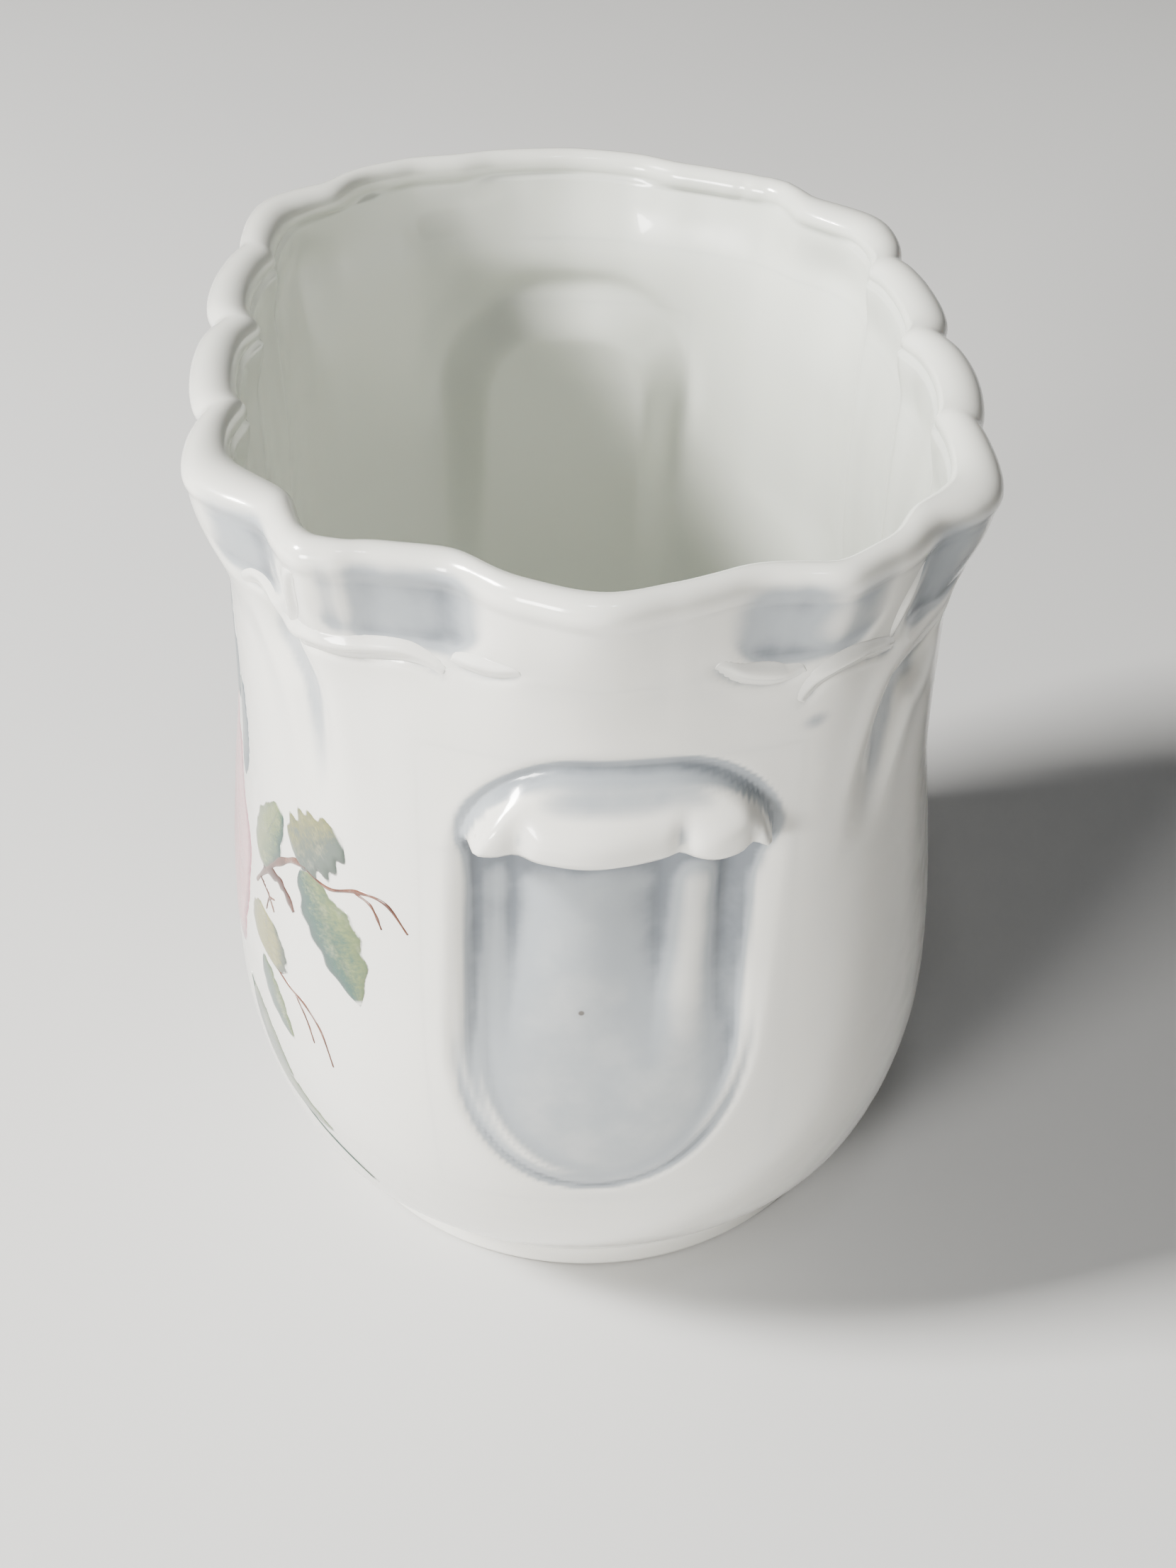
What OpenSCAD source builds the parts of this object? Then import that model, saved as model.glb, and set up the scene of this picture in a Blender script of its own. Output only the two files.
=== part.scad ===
// Porcelain shaving mug with a scalloped oval mouth, a round foot and a finger grip at each end.
// Millimetres, +Z up, origin at the centre of the foot on the surface it stands on.
// The front grip faces -Y, the back grip +Y.

/* [Body] */
// Height from the foot to the crown of the rim
mug_height = 95; // [88:1:102]
// Width across the belly, left to right
belly_width = 73.2; // [68:0.5:80]
// Length over the belly, front to back
belly_length = 91.6; // [86:0.5:98]
// Width at the waist, left to right
waist_width = 65.6; // [60:0.5:72]
// Length at the waist, front to back
waist_length = 90.6; // [85:0.5:96]
// Wall thickness of the fired porcelain
wall = 2.8; // [2.4:0.1:3.4]
// Height of the floor inside the mug
floor_height = 6; // [5:0.5:8]
// How far the belly leans to the left of the foot
belly_lean = 0.8; // [0:0.1:1]

/* [Foot] */
// Outer diameter of the foot ring
foot_diameter = 60; // [56:0.5:64]
// Height of the foot ring
foot_height = 3; // [2:0.5:4]
// Width of the ring that touches the table
foot_width = 3.2; // [2.5:0.1:4.5]

/* [Rim] */
// Width of the mouth between the side notches
mouth_width = 66.8; // [62:0.5:72]
// Length of the mouth between the end notches
mouth_length = 95.4; // [90:0.2:100]
// Radius of the rolled bead on the rim
bead_radius = 1.6; // [1.3:0.1:2]
// How far the bead overhangs the wall outside
bead_overhang = 0.4; // [0.2:0.1:0.8]
// Height of the fluted band under the bead
lip_height = 6.5; // [6:0.5:9]
// Depth of the flutes in that band
flute_depth = 0.7; // [0.3:0.1:1.2]
// How much the rim drops at its right side
rim_tilt = 1.5; // [0:0.1:2]
// Radius of the moulded scroll lines under the lip
scroll_radius = 0.6; // [0.4:0.05:0.8]

/* [Grips] */
// Width of a finger grip
grip_width = 26.6; // [24:0.2:29]
// Height of the lower end of a grip
grip_low = 29.4; // [27:0.2:32]
// Height of the upper end of a grip
grip_top = 78.4; // [76:0.2:79]
// Height of the ledge's front edge
ledge_edge = 71; // [70:0.5:72]
// How far the ledge stands out of the wall
ledge_out = 2.6; // [1.5:0.1:3.2]
// Depth of the recess under the ledge
recess_depth = 2.6; // [1.5:0.1:3.2]
// Lean of a grip, its top towards the right
grip_lean = 2.5; // [0:0.5:5]

/* [Painting] */
// Thickness of the fired enamel
enamel = 0.12; // [0.08:0.01:0.2]
// Radius of the painted rose
rose_radius = 16; // [12:0.5:18]
// Height of the rose's middle
rose_height = 50; // [44:0.5:54]

/* [Hidden] */

// Heights of the profile's stations, half widths and half lengths there
span = mug_height - foot_height;
function at_height(part) = foot_height + span * part;
STATIONS = [
    [at_height(0.000), foot_diameter / 2 - 0.2, foot_diameter / 2 - 0.2],
    [at_height(0.054), belly_width * 0.445, belly_length * 0.373],
    [at_height(0.141), belly_width * 0.478, belly_length * 0.434],
    [at_height(0.272), belly_width * 0.500, belly_length * 0.484],
    [at_height(0.402), belly_width * 0.494, belly_length * 0.500],
    [at_height(0.533), belly_width * 0.474, belly_length * 0.502],
    [at_height(0.663), waist_width * 0.504, waist_length * 0.503],
    [at_height(0.793), waist_width * 0.498, waist_length * 0.500],
    [at_height(0.880), waist_width * 0.500, waist_length * 0.499],
    [at_height(0.945), mouth_width * 0.496, mouth_length * 0.489],
    [at_height(1.000), mouth_width * 0.500, mouth_length * 0.500]
];
last_station = len(STATIONS) - 1;

// Slope of a profile column at a station, and the smooth curve through the stations
function slope(c, i) = let (a = max(i - 1, 0), b = min(i + 1, last_station))
    (STATIONS[b][c] - STATIONS[a][c]) / (STATIONS[b][0] - STATIONS[a][0]);
function station_under(z, i = 0) =
    i >= last_station - 1 || z < STATIONS[i + 1][0] ? i : station_under(z, i + 1);
function profile(c, z) = let (
        q = min(max(z, STATIONS[0][0]), STATIONS[last_station][0]),
        i = station_under(q),
        h = STATIONS[i + 1][0] - STATIONS[i][0],
        t = (q - STATIONS[i][0]) / h
    )
    (2 * t * t * t - 3 * t * t + 1) * STATIONS[i][c] + (t * t * t - 2 * t * t + t) * h * slope(c, i)
    + (3 * t * t - 2 * t * t * t) * STATIONS[i + 1][c] + (t * t * t - t * t) * h * slope(c, i + 1);

// Plan outline: round at the foot, a squarish oval at the mouth
function plan_power(z) = 2 + 0.5 * min(z / 60, 1);
function plan_radius(phi, z) = let (n = plan_power(z))
    pow(pow(abs(sin(phi)) / profile(1, z), n) + pow(abs(cos(phi)) / profile(2, z), n), -1 / n);

// Scallops of the rim: [angle from the nearer grip, how far the rim stands outside the plain oval].
// The three runs meet in the sharp notches of the sides.
LEFT_RUN = [[-90, -0.4], [-84, 0.7], [-74, 1.1], [-65, 0.9], [-61, 0.3]];
END_RUN = [
    [-61, 0.3], [-56, 2.1], [-50, 3.4], [-45, 3.3], [-38, 1.2], [-34, 1.4], [-29.5, 1.9],
    [-23, -0.8], [-16, -2.2], [-8.5, -0.1], [-1.5, 1.4], [5, 0], [11.5, -1.4], [17, -0.6],
    [22, 0.9], [28, 0.2], [36, 0.8], [43.5, 3], [49, 2.6], [56, 1.3], [61, 0.3]
];
RIGHT_RUN = [[61, 0.3], [66, 0.8], [75, 1.1], [84, 0.7], [90, -0.4]];
function turn(phi) = phi - 360 * floor((phi + 180) / 360);
function near_end(phi) = abs(turn(phi)) > 90 ? turn(phi - 180) : turn(phi);
function table_slope(t, i) = let (a = max(i - 1, 0), b = min(i + 1, len(t) - 1))
    (t[b][1] - t[a][1]) / (t[b][0] - t[a][0]);
function knot_under(t, x, i = 0) = i >= len(t) - 2 || x < t[i + 1][0] ? i : knot_under(t, x, i + 1);
function spline(t, x) = let (
        i = knot_under(t, x),
        h = t[i + 1][0] - t[i][0],
        f = (x - t[i][0]) / h
    )
    (2 * f * f * f - 3 * f * f + 1) * t[i][1] + (f * f * f - 2 * f * f + f) * h * table_slope(t, i)
    + (3 * f * f - 2 * f * f * f) * t[i + 1][1] + (f * f * f - f * f) * h * table_slope(t, i + 1);
function ramp(x, lo, hi) = let (t = min(max((x - lo) / (hi - lo), 0), 1)) t * t * (3 - 2 * t);
function bell(x, size) = exp(-x * x / (size * size));

// The scallops over the back grip are shallower than those over the front grip
function is_back(phi) = abs(turn(phi)) > 90;
function lobe(phi) = let (q = near_end(phi), calm = is_back(phi) ? 0.65 * ramp(abs(q), 40, 26) : 0)
    (1 - calm) * spline(q < -61 ? LEFT_RUN : q > 61 ? RIGHT_RUN : END_RUN, q);
function lobe_share(z) = 0.2 * ramp(z, 44, 76) + 0.8 * ramp(z, 80, 92.5);
function inner_share(z) = 0.35 * ramp(z, 38, 74) + 0.65 * ramp(z, 76, 93);

// The rim is thicker at the sides and thickest at the corners
function rim_extra(phi) = let (a = abs(near_end(phi))) 1.1 * ramp(a, 26, 44) + 0.8 * bell(a - 46, 9);

// Hollows in the band under the bead: beside the side notches and between the scrolls
lip_low = mug_height - bead_radius * 1.7 - lip_height;
lip_top = mug_height - bead_radius * 1.7;
HOLLOWS = [[-40.5, 7.5], [-28, 4.2], [-18, 7.4], [18, 8.4], [40, 7.5]];
function flute(phi, z) = let (q = near_end(phi), a = abs(q))
    flute_depth * ramp(z, lip_low, lip_low + 2.5) * (1 - ramp(z, lip_top - 2, lip_top))
    * max([
        bell(a - 63, 5), bell(a - 87, 5),
        for (h = HOLLOWS) ramp(abs(q - h[0]), h[1], h[1] * 0.45)
    ]);

// Finger grip: offset of the wall, from the distance u beside its centre line and the height z
grip_half = grip_width / 2;
function bump(x, mid, half) = let (t = abs(x - mid) / half) t >= 1 ? 0 : pow(1 - t * t, 2);
LEDGE_LOBES = [[-10.2, 3.6, 0.4], [-1.6, 7.4, 0.7], [8, 3.8, 0.6], [12, 2, 0.35]];
function ledge_lobes(u) = max([for (l = LEDGE_LOBES) l[2] * bump(u, l[0], l[1])]);
shoulder = 10;
tongue = 19;
function grip_half_at(z) =
    z > grip_top - shoulder
        ? grip_half - shoulder + sqrt(max(0, pow(shoulder, 2) - pow(z - grip_top + shoulder, 2)))
    : z < grip_low + tongue ? grip_half * sqrt(max(0, 1 - pow((grip_low + tongue - z) / tongue, 2)))
    : grip_half;
function grip_inset(u, z) = min(grip_half_at(z) - abs(u), grip_top - z, z - grip_low);
function ledge_rise(u, z) = (ledge_out + ledge_lobes(u)) * ramp(z, grip_top, ledge_edge + 1.5);
function recess_fade(z) = 0.12 + 0.88 * ramp(z, grip_low + 4, ledge_edge - 8);
function recess_fall(u, z) =
    -recess_depth * recess_fade(z)
    + ledge_lobes(u) * ramp(z, grip_low + 10, ledge_edge - 6);
function grip_offset(u, z) = let (
        inset = grip_inset(u, z),
        under = ramp(z, ledge_edge + 0.6, ledge_edge - 2.8)
    )
    inset <= 0 ? 0
    : ramp(inset, 0, 2.2) * ((1 - under) * ledge_rise(u, z) + under * recess_fall(u, z));
function grip_u(phi, z) =
    near_end(phi) * 0.0175 * plan_radius(0, z) - (is_back(phi) ? -1 : 1) * tan(grip_lean) * (z - 52);
function grip(phi, z) = grip_offset(grip_u(phi, z), z);

// Inside the mug the ledge is solid and only the recess shows, as an arched swelling
function swelling(phi, z) = recess_depth * recess_fade(z) * ramp(grip_inset(grip_u(phi, z), z), -2, 3.5);

// Outer and inner radius of the wall
function outer(phi, z) = plan_radius(phi, z) + lobe_share(z) * lobe(phi) - flute(phi, z) + grip(phi, z);
function inner_height(z) = floor_height + (z - foot_height) * (mug_height - floor_height) / span;
function inner(phi, z) = plan_radius(phi, z) + inner_share(z) * lobe(phi) - swelling(phi, z) - wall
    - rim_extra(phi) * ramp(z, 87, 92.5)
    - 5 * pow(max(0, 1 - (z - floor_height) / 9), 2);

// A point of the wall, with the small lean and tilt that the piece took in the kiln
function settle(p) = let (t = p[2] / mug_height)
    [p[0] - belly_lean * sin(180 * t), p[1], p[2] - t * t * rim_tilt * p[0] / (mouth_width / 2)];
function wall_point(r, phi, z) = settle([r * sin(phi), -r * cos(phi), z]);

// Columns round the wall, closer together across the grips, and rows up the wall
grip_angle = 20;
grip_columns = 16;
side_columns = 42;
column_count = 2 * (grip_columns + side_columns);
function column(i) = i < grip_columns ? -grip_angle + 2 * grip_angle * i / grip_columns
    : i < column_count / 2 ? grip_angle + (180 - 2 * grip_angle) * (i - grip_columns) / side_columns
    : 180 + column(i - column_count / 2);
WALL_ROWS = [
    foot_height, 5, 8, 12, 17, 22,
    for (k = [0:9]) 27 + 4 * k,
    66.5, 68.5, 70, 71.5, 73.5, 76, 78.5,
    80.5, 83, lip_low
];
recess_row = 6;
ledge_row = 17;
ledge_top_row = 22;
LIP_ROWS = [for (k = [0:5]) lip_low + (lip_top - lip_low) * k / 5];

// Two triangles for one four-cornered face
function two(a, b, c, d) = [[a, b, c], [a, c, d]];

// Closed solid of wall between two columns and two rows
module wall_panel(rows, c0, c1) {
    n = c1 - c0 + 1;
    m = len(rows);
    points = [
        for (z = rows) for (i = [c0:c1]) wall_point(outer(column(i), z), column(i), z),
        for (z = rows) for (i = [c0:c1])
            let (h = inner_height(z)) wall_point(inner(column(i), h), column(i), h)
    ];
    k = n * m;
    faces = [
        for (j = [0:m - 2]) for (i = [0:n - 2]) let (a = j * n + i, b = a + n)
            each concat(two(a, b, b + 1, a + 1), two(k + a, k + a + 1, k + b + 1, k + b)),
        for (j = [0:m - 2]) let (a = j * n, b = a + n, c = a + n - 1, d = b + n - 1)
            each concat(two(b, a, k + a, k + b), two(c, d, k + d, k + c)),
        for (i = [0:n - 2]) let (a = i, t = (m - 1) * n + i)
            each concat(two(a, a + 1, k + a + 1, k + a), two(t + 1, t, k + t, k + t + 1))
    ];
    polyhedron(points = points, faces = faces, convexity = 6);
}

// Whether a cell of the body's grid is left open for a grip
function is_grip(i, j) = (i % (column_count / 2)) < grip_columns && j >= recess_row && j < ledge_top_row;

module mug_body() {
    n = column_count;
    m = len(WALL_ROWS);
    k = n * m;
    points = [
        for (z = WALL_ROWS) for (i = [0:n - 1]) wall_point(outer(column(i), z), column(i), z),
        for (z = WALL_ROWS) for (i = [0:n - 1])
            let (h = inner_height(z)) wall_point(inner(column(i), h), column(i), h),
        settle([0, 0, foot_height]),
        settle([0, 0, floor_height])
    ];
    faces = [
        for (j = [0:m - 2]) for (i = [0:n - 1])
            let (a = j * n + i, b = j * n + (i + 1) % n, c = b + n, d = a + n)
            if (!is_grip(i, j)) each concat(
                two(a, d, c, b), two(k + a, k + b, k + c, k + d),
                is_grip((i + 1) % n, j) ? two(b, c, k + c, k + b) : [],
                is_grip((i + n - 1) % n, j) ? two(d, a, k + a, k + d) : [],
                is_grip(i, j + 1) || j == m - 2 ? two(c, d, k + d, k + c) : [],
                j > 0 && is_grip(i, j - 1) ? two(a, b, k + b, k + a) : []
            ),
        for (i = [0:n - 1]) let (b = (i + 1) % n) each [[i, b, 2 * k], [k + b, k + i, 2 * k + 1]]
    ];
    color("ghostwhite") polyhedron(points = points, faces = faces, convexity = 8);
}

module foot_ring() {
    r = foot_diameter / 2;
    edge = 0.6;
    color("white") rotate_extrude($fn = 144) polygon([
        [r - foot_width, 0], [r - edge, 0], [r, edge], [r, foot_height - edge],
        [r - 0.3, foot_height], [r - foot_width - 1.2, foot_height], [r - foot_width - 0.6, 1]
    ]);
}

module fluted_lip() {
    n = column_count;
    m = len(LIP_ROWS);
    k = n * m;
    points = [
        for (z = LIP_ROWS) for (i = [0:n - 1]) wall_point(outer(column(i), z), column(i), z),
        for (z = LIP_ROWS) for (i = [0:n - 1])
            let (h = inner_height(z)) wall_point(inner(column(i), h), column(i), h)
    ];
    faces = [
        for (j = [0:m - 2]) for (i = [0:n - 1])
            let (a = j * n + i, b = j * n + (i + 1) % n, c = b + n, d = a + n)
            each concat(two(a, d, c, b), two(k + a, k + b, k + c, k + d)),
        for (i = [0:n - 1]) let (b = (i + 1) % n, t = (m - 1) * n)
            each concat(two(i, b, k + b, k + i), two(t + b, t + i, k + t + i, k + t + b))
    ];
    color("lavender") polyhedron(points = points, faces = faces, convexity = 8);
}

// Rolled bead: its section starts and ends on the lip's two top edges
bead_steps = 9;
module rim_bead() {
    n = column_count;
    m = bead_steps + 3;
    rim_inner = inner_height(lip_top);
    points = [for (i = [0:n - 1]) let (
            phi = column(i),
            r0 = outer(phi, lip_top),
            r1 = inner(phi, rim_inner),
            half = (wall + 0.2 + rim_extra(phi)) / 2
        ) each [
            wall_point(r0, phi, lip_top),
            for (s = [0:bead_steps]) let (w = -28 + 236 * s / bead_steps)
                wall_point(r0 + bead_overhang - half * (1 - cos(w)), phi,
                    mug_height - bead_radius + bead_radius * sin(w)),
            wall_point(r1, phi, rim_inner)
        ]];
    faces = [for (i = [0:n - 1]) for (s = [0:m - 1])
        let (
            a = i * m + s,
            b = i * m + (s + 1) % m,
            c = ((i + 1) % n) * m + (s + 1) % m,
            d = ((i + 1) % n) * m + s
        )
        each two(a, b, c, d)];
    color("white") polyhedron(points = points, faces = faces, convexity = 8);
}

function part_rows(j0, j1) = [for (j = [j0:j1]) WALL_ROWS[j]];
module front_grip_recess() {
    color("lightsteelblue") wall_panel(part_rows(recess_row, ledge_row), 0, grip_columns);
}
module front_grip_ledge() {
    color("aliceblue") wall_panel(part_rows(ledge_row, ledge_top_row), 0, grip_columns);
}
module back_grip_recess() {
    color("lightsteelblue") wall_panel(part_rows(recess_row, ledge_row),
        column_count / 2, column_count / 2 + grip_columns);
}
module back_grip_ledge() {
    color("aliceblue") wall_panel(part_rows(ledge_row, ledge_top_row),
        column_count / 2, column_count / 2 + grip_columns);
}

// Smooth curve through hand-placed [angle, height] points, t from 0 to 1
function along(path, t) = let (
        n = len(path) - 1,
        i = min(floor(t * n), n - 1),
        f = t * n - i,
        a = path[max(i - 1, 0)],
        b = path[i],
        c = path[i + 1],
        d = path[min(i + 2, n)]
    )
    b + 0.5 * f * (c - a + f * (2 * a - 5 * b + 4 * c - d + f * (3 * (b - c) + d - a)));
function unit(v) = v / norm(v);
function face_point(q, lift) = wall_point(outer(q[0], q[1]) + lift, q[0], q[1]);

// Moulded line: a tapering round roll, half sunk in the wall, along a path on the wall
roll_rings = 14;
roll_sides = 6;
module roll(path, radius) {
    points = [for (k = [0:roll_rings]) let (
            t = k / roll_rings,
            q = along(path, t),
            p = face_point(q, 0),
            ahead = face_point(along(path, min(t + 0.03, 1)), 0),
            dir = unit(ahead - face_point(along(path, max(t - 0.03, 0)), 0)),
            side = unit(cross(dir, [sin(q[0]), -cos(q[0]), 0])),
            out = cross(side, dir),
            r = radius * (0.35 + 0.65 * pow(sin(180 * t), 0.6))
        ) for (s = [0:roll_sides - 1]) let (w = 360 * s / roll_sides) p + r * (cos(w) * out + sin(w) * side)];
    faces = [
        for (k = [0:roll_rings - 1]) for (s = [0:roll_sides - 1])
            let (a = k * roll_sides + s, b = k * roll_sides + (s + 1) % roll_sides)
            each two(a, b, b + roll_sides, a + roll_sides),
        [for (s = [roll_sides - 1:-1:0]) s],
        [for (s = [0:roll_sides - 1]) roll_rings * roll_sides + s]
    ];
    polyhedron(points = points, faces = faces, convexity = 4);
}

// The scrolls of the left and right corners, as [angle from the front, height]
LEFT_SCROLL = [[-42.7, 87], [-39.5, 87.4], [-37, 85.2], [-31.3, 85.7], [-24, 86.3], [-16.9, 85.5]];
LEFT_CURL = [[-15.5, 86.8], [-13, 86.5], [-10.8, 86.6], [-8.9, 87.2]];
LEFT_RIB = [[-31.3, 91.4], [-31.7, 90], [-32.4, 87.9], [-34, 86]];
RIGHT_SCROLL = [[30.5, 84.9], [25.6, 85.6], [22.6, 85.5], [20.6, 84.6], [19.1, 83]];
RIGHT_CURL = [[9.6, 87.4], [11.9, 86.2], [14.8, 85.6], [17.4, 85.9]];
RIGHT_RIB = [[33.6, 91.2], [32.8, 89.4], [31.9, 87.6], [31, 86]];
function turned(path, angle) = [for (q = path) [q[0] + angle, q[1]]];
module scroll(paths, angle) {
    for (path = paths) roll(turned(path, angle), scroll_radius);
}
module front_left_scroll() {
    color("white") scroll([LEFT_SCROLL, LEFT_CURL, LEFT_RIB], 0);
}
module front_right_scroll() {
    color("white") scroll([RIGHT_SCROLL, RIGHT_CURL, RIGHT_RIB], 0);
}
module back_left_scroll() {
    color("white") scroll([RIGHT_SCROLL, RIGHT_CURL, RIGHT_RIB], 180);
}
module back_right_scroll() {
    color("white") scroll([LEFT_SCROLL, LEFT_CURL, LEFT_RIB], 180);
}

// Enamel patch on the wall. The outline is a grid of [angle, height] points, lens-thin in section
sink = 0.1;
module patch(grid) {
    n = len(grid);
    m = len(grid[0]);
    k = n * m;
    points = [
        for (row = grid) for (q = row) face_point(q, enamel),
        for (row = grid) for (q = row) face_point(q, -sink)
    ];
    faces = [
        for (j = [0:n - 2]) for (i = [0:m - 2]) let (a = j * m + i, b = a + m)
            each concat(two(a, b, b + 1, a + 1), two(k + a, k + a + 1, k + b + 1, k + b)),
        for (j = [0:n - 2]) let (a = j * m, b = a + m, c = a + m - 1, d = b + m - 1)
            each concat(two(b, a, k + a, k + b), two(c, d, k + d, k + c)),
        for (i = [0:m - 2]) let (t = (n - 1) * m + i)
            each concat(two(i, i + 1, k + i + 1, k + i), two(t + 1, t, k + t, k + t + 1))
    ];
    polyhedron(points = points, faces = faces, convexity = 4);
}
// Place on the wall of a point [a, b] millimetres to the right of and above a middle [angle, height]
function spot(mid, a, b) = [mid[0] + a * 57.3 / outer(mid[0], mid[1]), mid[1] + b];

// Leaf from its stalk end [angle, height]: length, greatest width and direction from +X towards +Z
leaf_steps = 8;
function leaf_grid(base, length, width, heading) = [for (k = [0:leaf_steps]) let (
        t = k / leaf_steps,
        half = 0.04 + width / 2 * pow(sin(180 * pow(t, 0.8)), 0.85)
    ) [for (side = [1, 0, -1]) spot(base, length * t * cos(heading) + side * half * sin(heading),
        length * t * sin(heading) - side * half * cos(heading))]];
module leaf(base, length, width, heading) {
    patch(leaf_grid(base, length, width, heading));
}

// Petal: part of a ring about the rose's middle, with a rounded outer edge
ROSE = [-78, rose_height];
petal_steps = 6;
module petal(r0, r1, a0, a1) {
    patch([for (k = [petal_steps:-1:0]) let (
            w = a0 + (a1 - a0) * k / petal_steps,
            reach = (r1 - r0) * (0.72 + 0.28 * pow(sin(180 * k / petal_steps), 0.7)) / 2
        ) [for (s = [0:2]) spot(ROSE, (r0 + reach * s) * cos(w), (r0 + reach * s) * sin(w))]]);
}
module rose_petals() {
    color("pink")
        for (k = [0:5]) petal(rose_radius * 0.56, rose_radius, 60 * k + 2, 60 * k + 58);
    color("lightpink")
        for (k = [0:4]) petal(rose_radius * 0.24, rose_radius * 0.54, 72 * k + 22, 72 * k + 90);
}
module rose_heart() {
    color("palevioletred")
        for (k = [0:2]) petal(rose_radius * 0.04, rose_radius * 0.22, 120 * k + 4, 120 * k + 116);
}

// Leaves and twigs, as [[angle, height], length, width, heading]
ROSE_LEAVES = [
    [[-57.5, 60.2], 12.5, 6.2, 76], [[-64, 65], 11.5, 6.2, 118], [[-97, 66], 14, 7, 140],
    [[-103.5, 46], 15, 7.4, 196], [[-92, 34], 14, 6.6, 236], [[-76, 33], 13, 6, 276]
];
SPRAY_LEAVES = [
    [[-48.6, 55.4], 10.6, 4.2, 58], [[-35.6, 59.8], 11.8, 6.6, -60], [[-49.8, 43], 8.2, 3.6, -52]
];
BUDS = [[[-38, 61.6], 8.8, 4.8, 38], [[-48, 44.4], 5.6, 5.6, 84]];
TWIGS = [
    [[-50.4, 51.8], 10.4, 0.8, 43], [[-44.4, 54.4], 4.4, 0.9, -6], [[-31.8, 60.2], 6.2, 0.6, 16],
    [[-27.2, 60.1], 3.9, 0.5, -20], [[-23, 61.3], 2.6, 0.5, -57], [[-43.6, 43], 4.4, 0.5, 10],
    [[-36.8, 43.2], 6.4, 0.5, -63], [[-40.2, 42.5], 4.4, 0.4, -66]
];
STEM = [[[-57.4, 35.4], 10.2, 4.4, -38], [[-47.2, 27], 8.4, 2.6, -20]];
module leaves(list) {
    for (l = list) leaf(l[0], l[1], l[2], l[3]);
}
module rose_leaves() {
    color("darkslategray") leaves(ROSE_LEAVES);
}
module spray_leaves() {
    color("darkseagreen") leaves(SPRAY_LEAVES);
}
module rose_buds() {
    color("lightslategray") leaves(BUDS);
}
module rose_twigs() {
    color("saddlebrown") leaves(TWIGS);
}
module long_stem_leaf() {
    color("slategray") leaves(STEM);
}

mug_body();
foot_ring();
fluted_lip();
rim_bead();
front_grip_recess();
front_grip_ledge();
back_grip_recess();
back_grip_ledge();
front_left_scroll();
front_right_scroll();
back_left_scroll();
back_right_scroll();
rose_petals();
rose_heart();
rose_leaves();
spray_leaves();
rose_buds();
rose_twigs();
long_stem_leaf();
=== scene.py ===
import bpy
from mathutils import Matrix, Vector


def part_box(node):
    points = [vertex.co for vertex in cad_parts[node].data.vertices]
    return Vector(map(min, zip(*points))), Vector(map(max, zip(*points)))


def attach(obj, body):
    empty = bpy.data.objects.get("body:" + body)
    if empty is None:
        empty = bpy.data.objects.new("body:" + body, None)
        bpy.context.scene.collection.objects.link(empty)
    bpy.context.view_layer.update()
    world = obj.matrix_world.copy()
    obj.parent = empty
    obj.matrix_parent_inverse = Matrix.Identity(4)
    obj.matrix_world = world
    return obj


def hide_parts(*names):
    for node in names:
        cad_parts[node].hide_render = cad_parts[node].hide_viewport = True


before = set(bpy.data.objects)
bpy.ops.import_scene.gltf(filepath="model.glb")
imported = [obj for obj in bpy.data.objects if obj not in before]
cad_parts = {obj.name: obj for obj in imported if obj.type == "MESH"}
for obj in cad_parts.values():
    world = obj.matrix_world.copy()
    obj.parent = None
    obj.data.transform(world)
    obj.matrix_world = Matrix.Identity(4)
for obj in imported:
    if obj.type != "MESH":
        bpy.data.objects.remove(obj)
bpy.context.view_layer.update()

import math

import bpy
import numpy as np
from mathutils import Euler, Vector

MM = 0.001

# ---------------------------------------------------------------- driving dimensions, in millimetres
foot_low, foot_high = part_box("foot_ring")
foot_radius = (foot_high.x - foot_low.x) / 2 / MM
foot_height = foot_high.z / MM
mug_height = 95.0
belly_width, belly_length = 73.2, 91.6
waist_width, waist_length = 65.6, 90.6
mouth_width, mouth_length = 66.8, 95.4
wall, floor_height = 2.8, 6.0
belly_lean, rim_tilt = 0.8, 1.5
bead_radius, bead_overhang = 1.6, 0.4
lip_height, flute_depth = 6.5, 0.7
grip_width, grip_low, grip_top = 26.6, 29.4, 78.4
ledge_edge, ledge_out, recess_depth, grip_lean = 71.0, 2.6, 2.6, 2.5
foot_width = 3.2
shoulder, tongue = 10.0, 19.0
enamel = 0.12
skin = 0.06  # how far the outside stays within the plain part's
grip_pivot = 52  # height at which the leaning grips are on their own middle line
ARC = 0.0175  # radians in a degree, so millimetres of arc for each millimetre of radius
DEGREES = 57.3  # degrees in a radian
SCROLL_ARC = ARC * 45  # millimetres of wall in a degree at the scrolls
PAINT_ARC = ARC * 43  # and at the painting, where the mug is narrower
BEAD_START, BEAD_SWEEP = -28, 236  # degrees round the section of the bead

span = mug_height - foot_height
lip_top = mug_height - bead_radius * 1.7
lip_low = lip_top - lip_height

PROFILE = np.array([
    [0.000, foot_radius - 0.2, foot_radius - 0.2],
    [0.054, belly_width * 0.445, belly_length * 0.373],
    [0.141, belly_width * 0.478, belly_length * 0.434],
    [0.272, belly_width * 0.500, belly_length * 0.484],
    [0.402, belly_width * 0.494, belly_length * 0.500],
    [0.533, belly_width * 0.474, belly_length * 0.502],
    [0.663, waist_width * 0.504, waist_length * 0.503],
    [0.793, waist_width * 0.498, waist_length * 0.500],
    [0.880, waist_width * 0.500, waist_length * 0.499],
    [0.945, mouth_width * 0.496, mouth_length * 0.489],
    [1.000, mouth_width * 0.500, mouth_length * 0.500]])
PROFILE[:, 0] = foot_height + span * PROFILE[:, 0]


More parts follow.
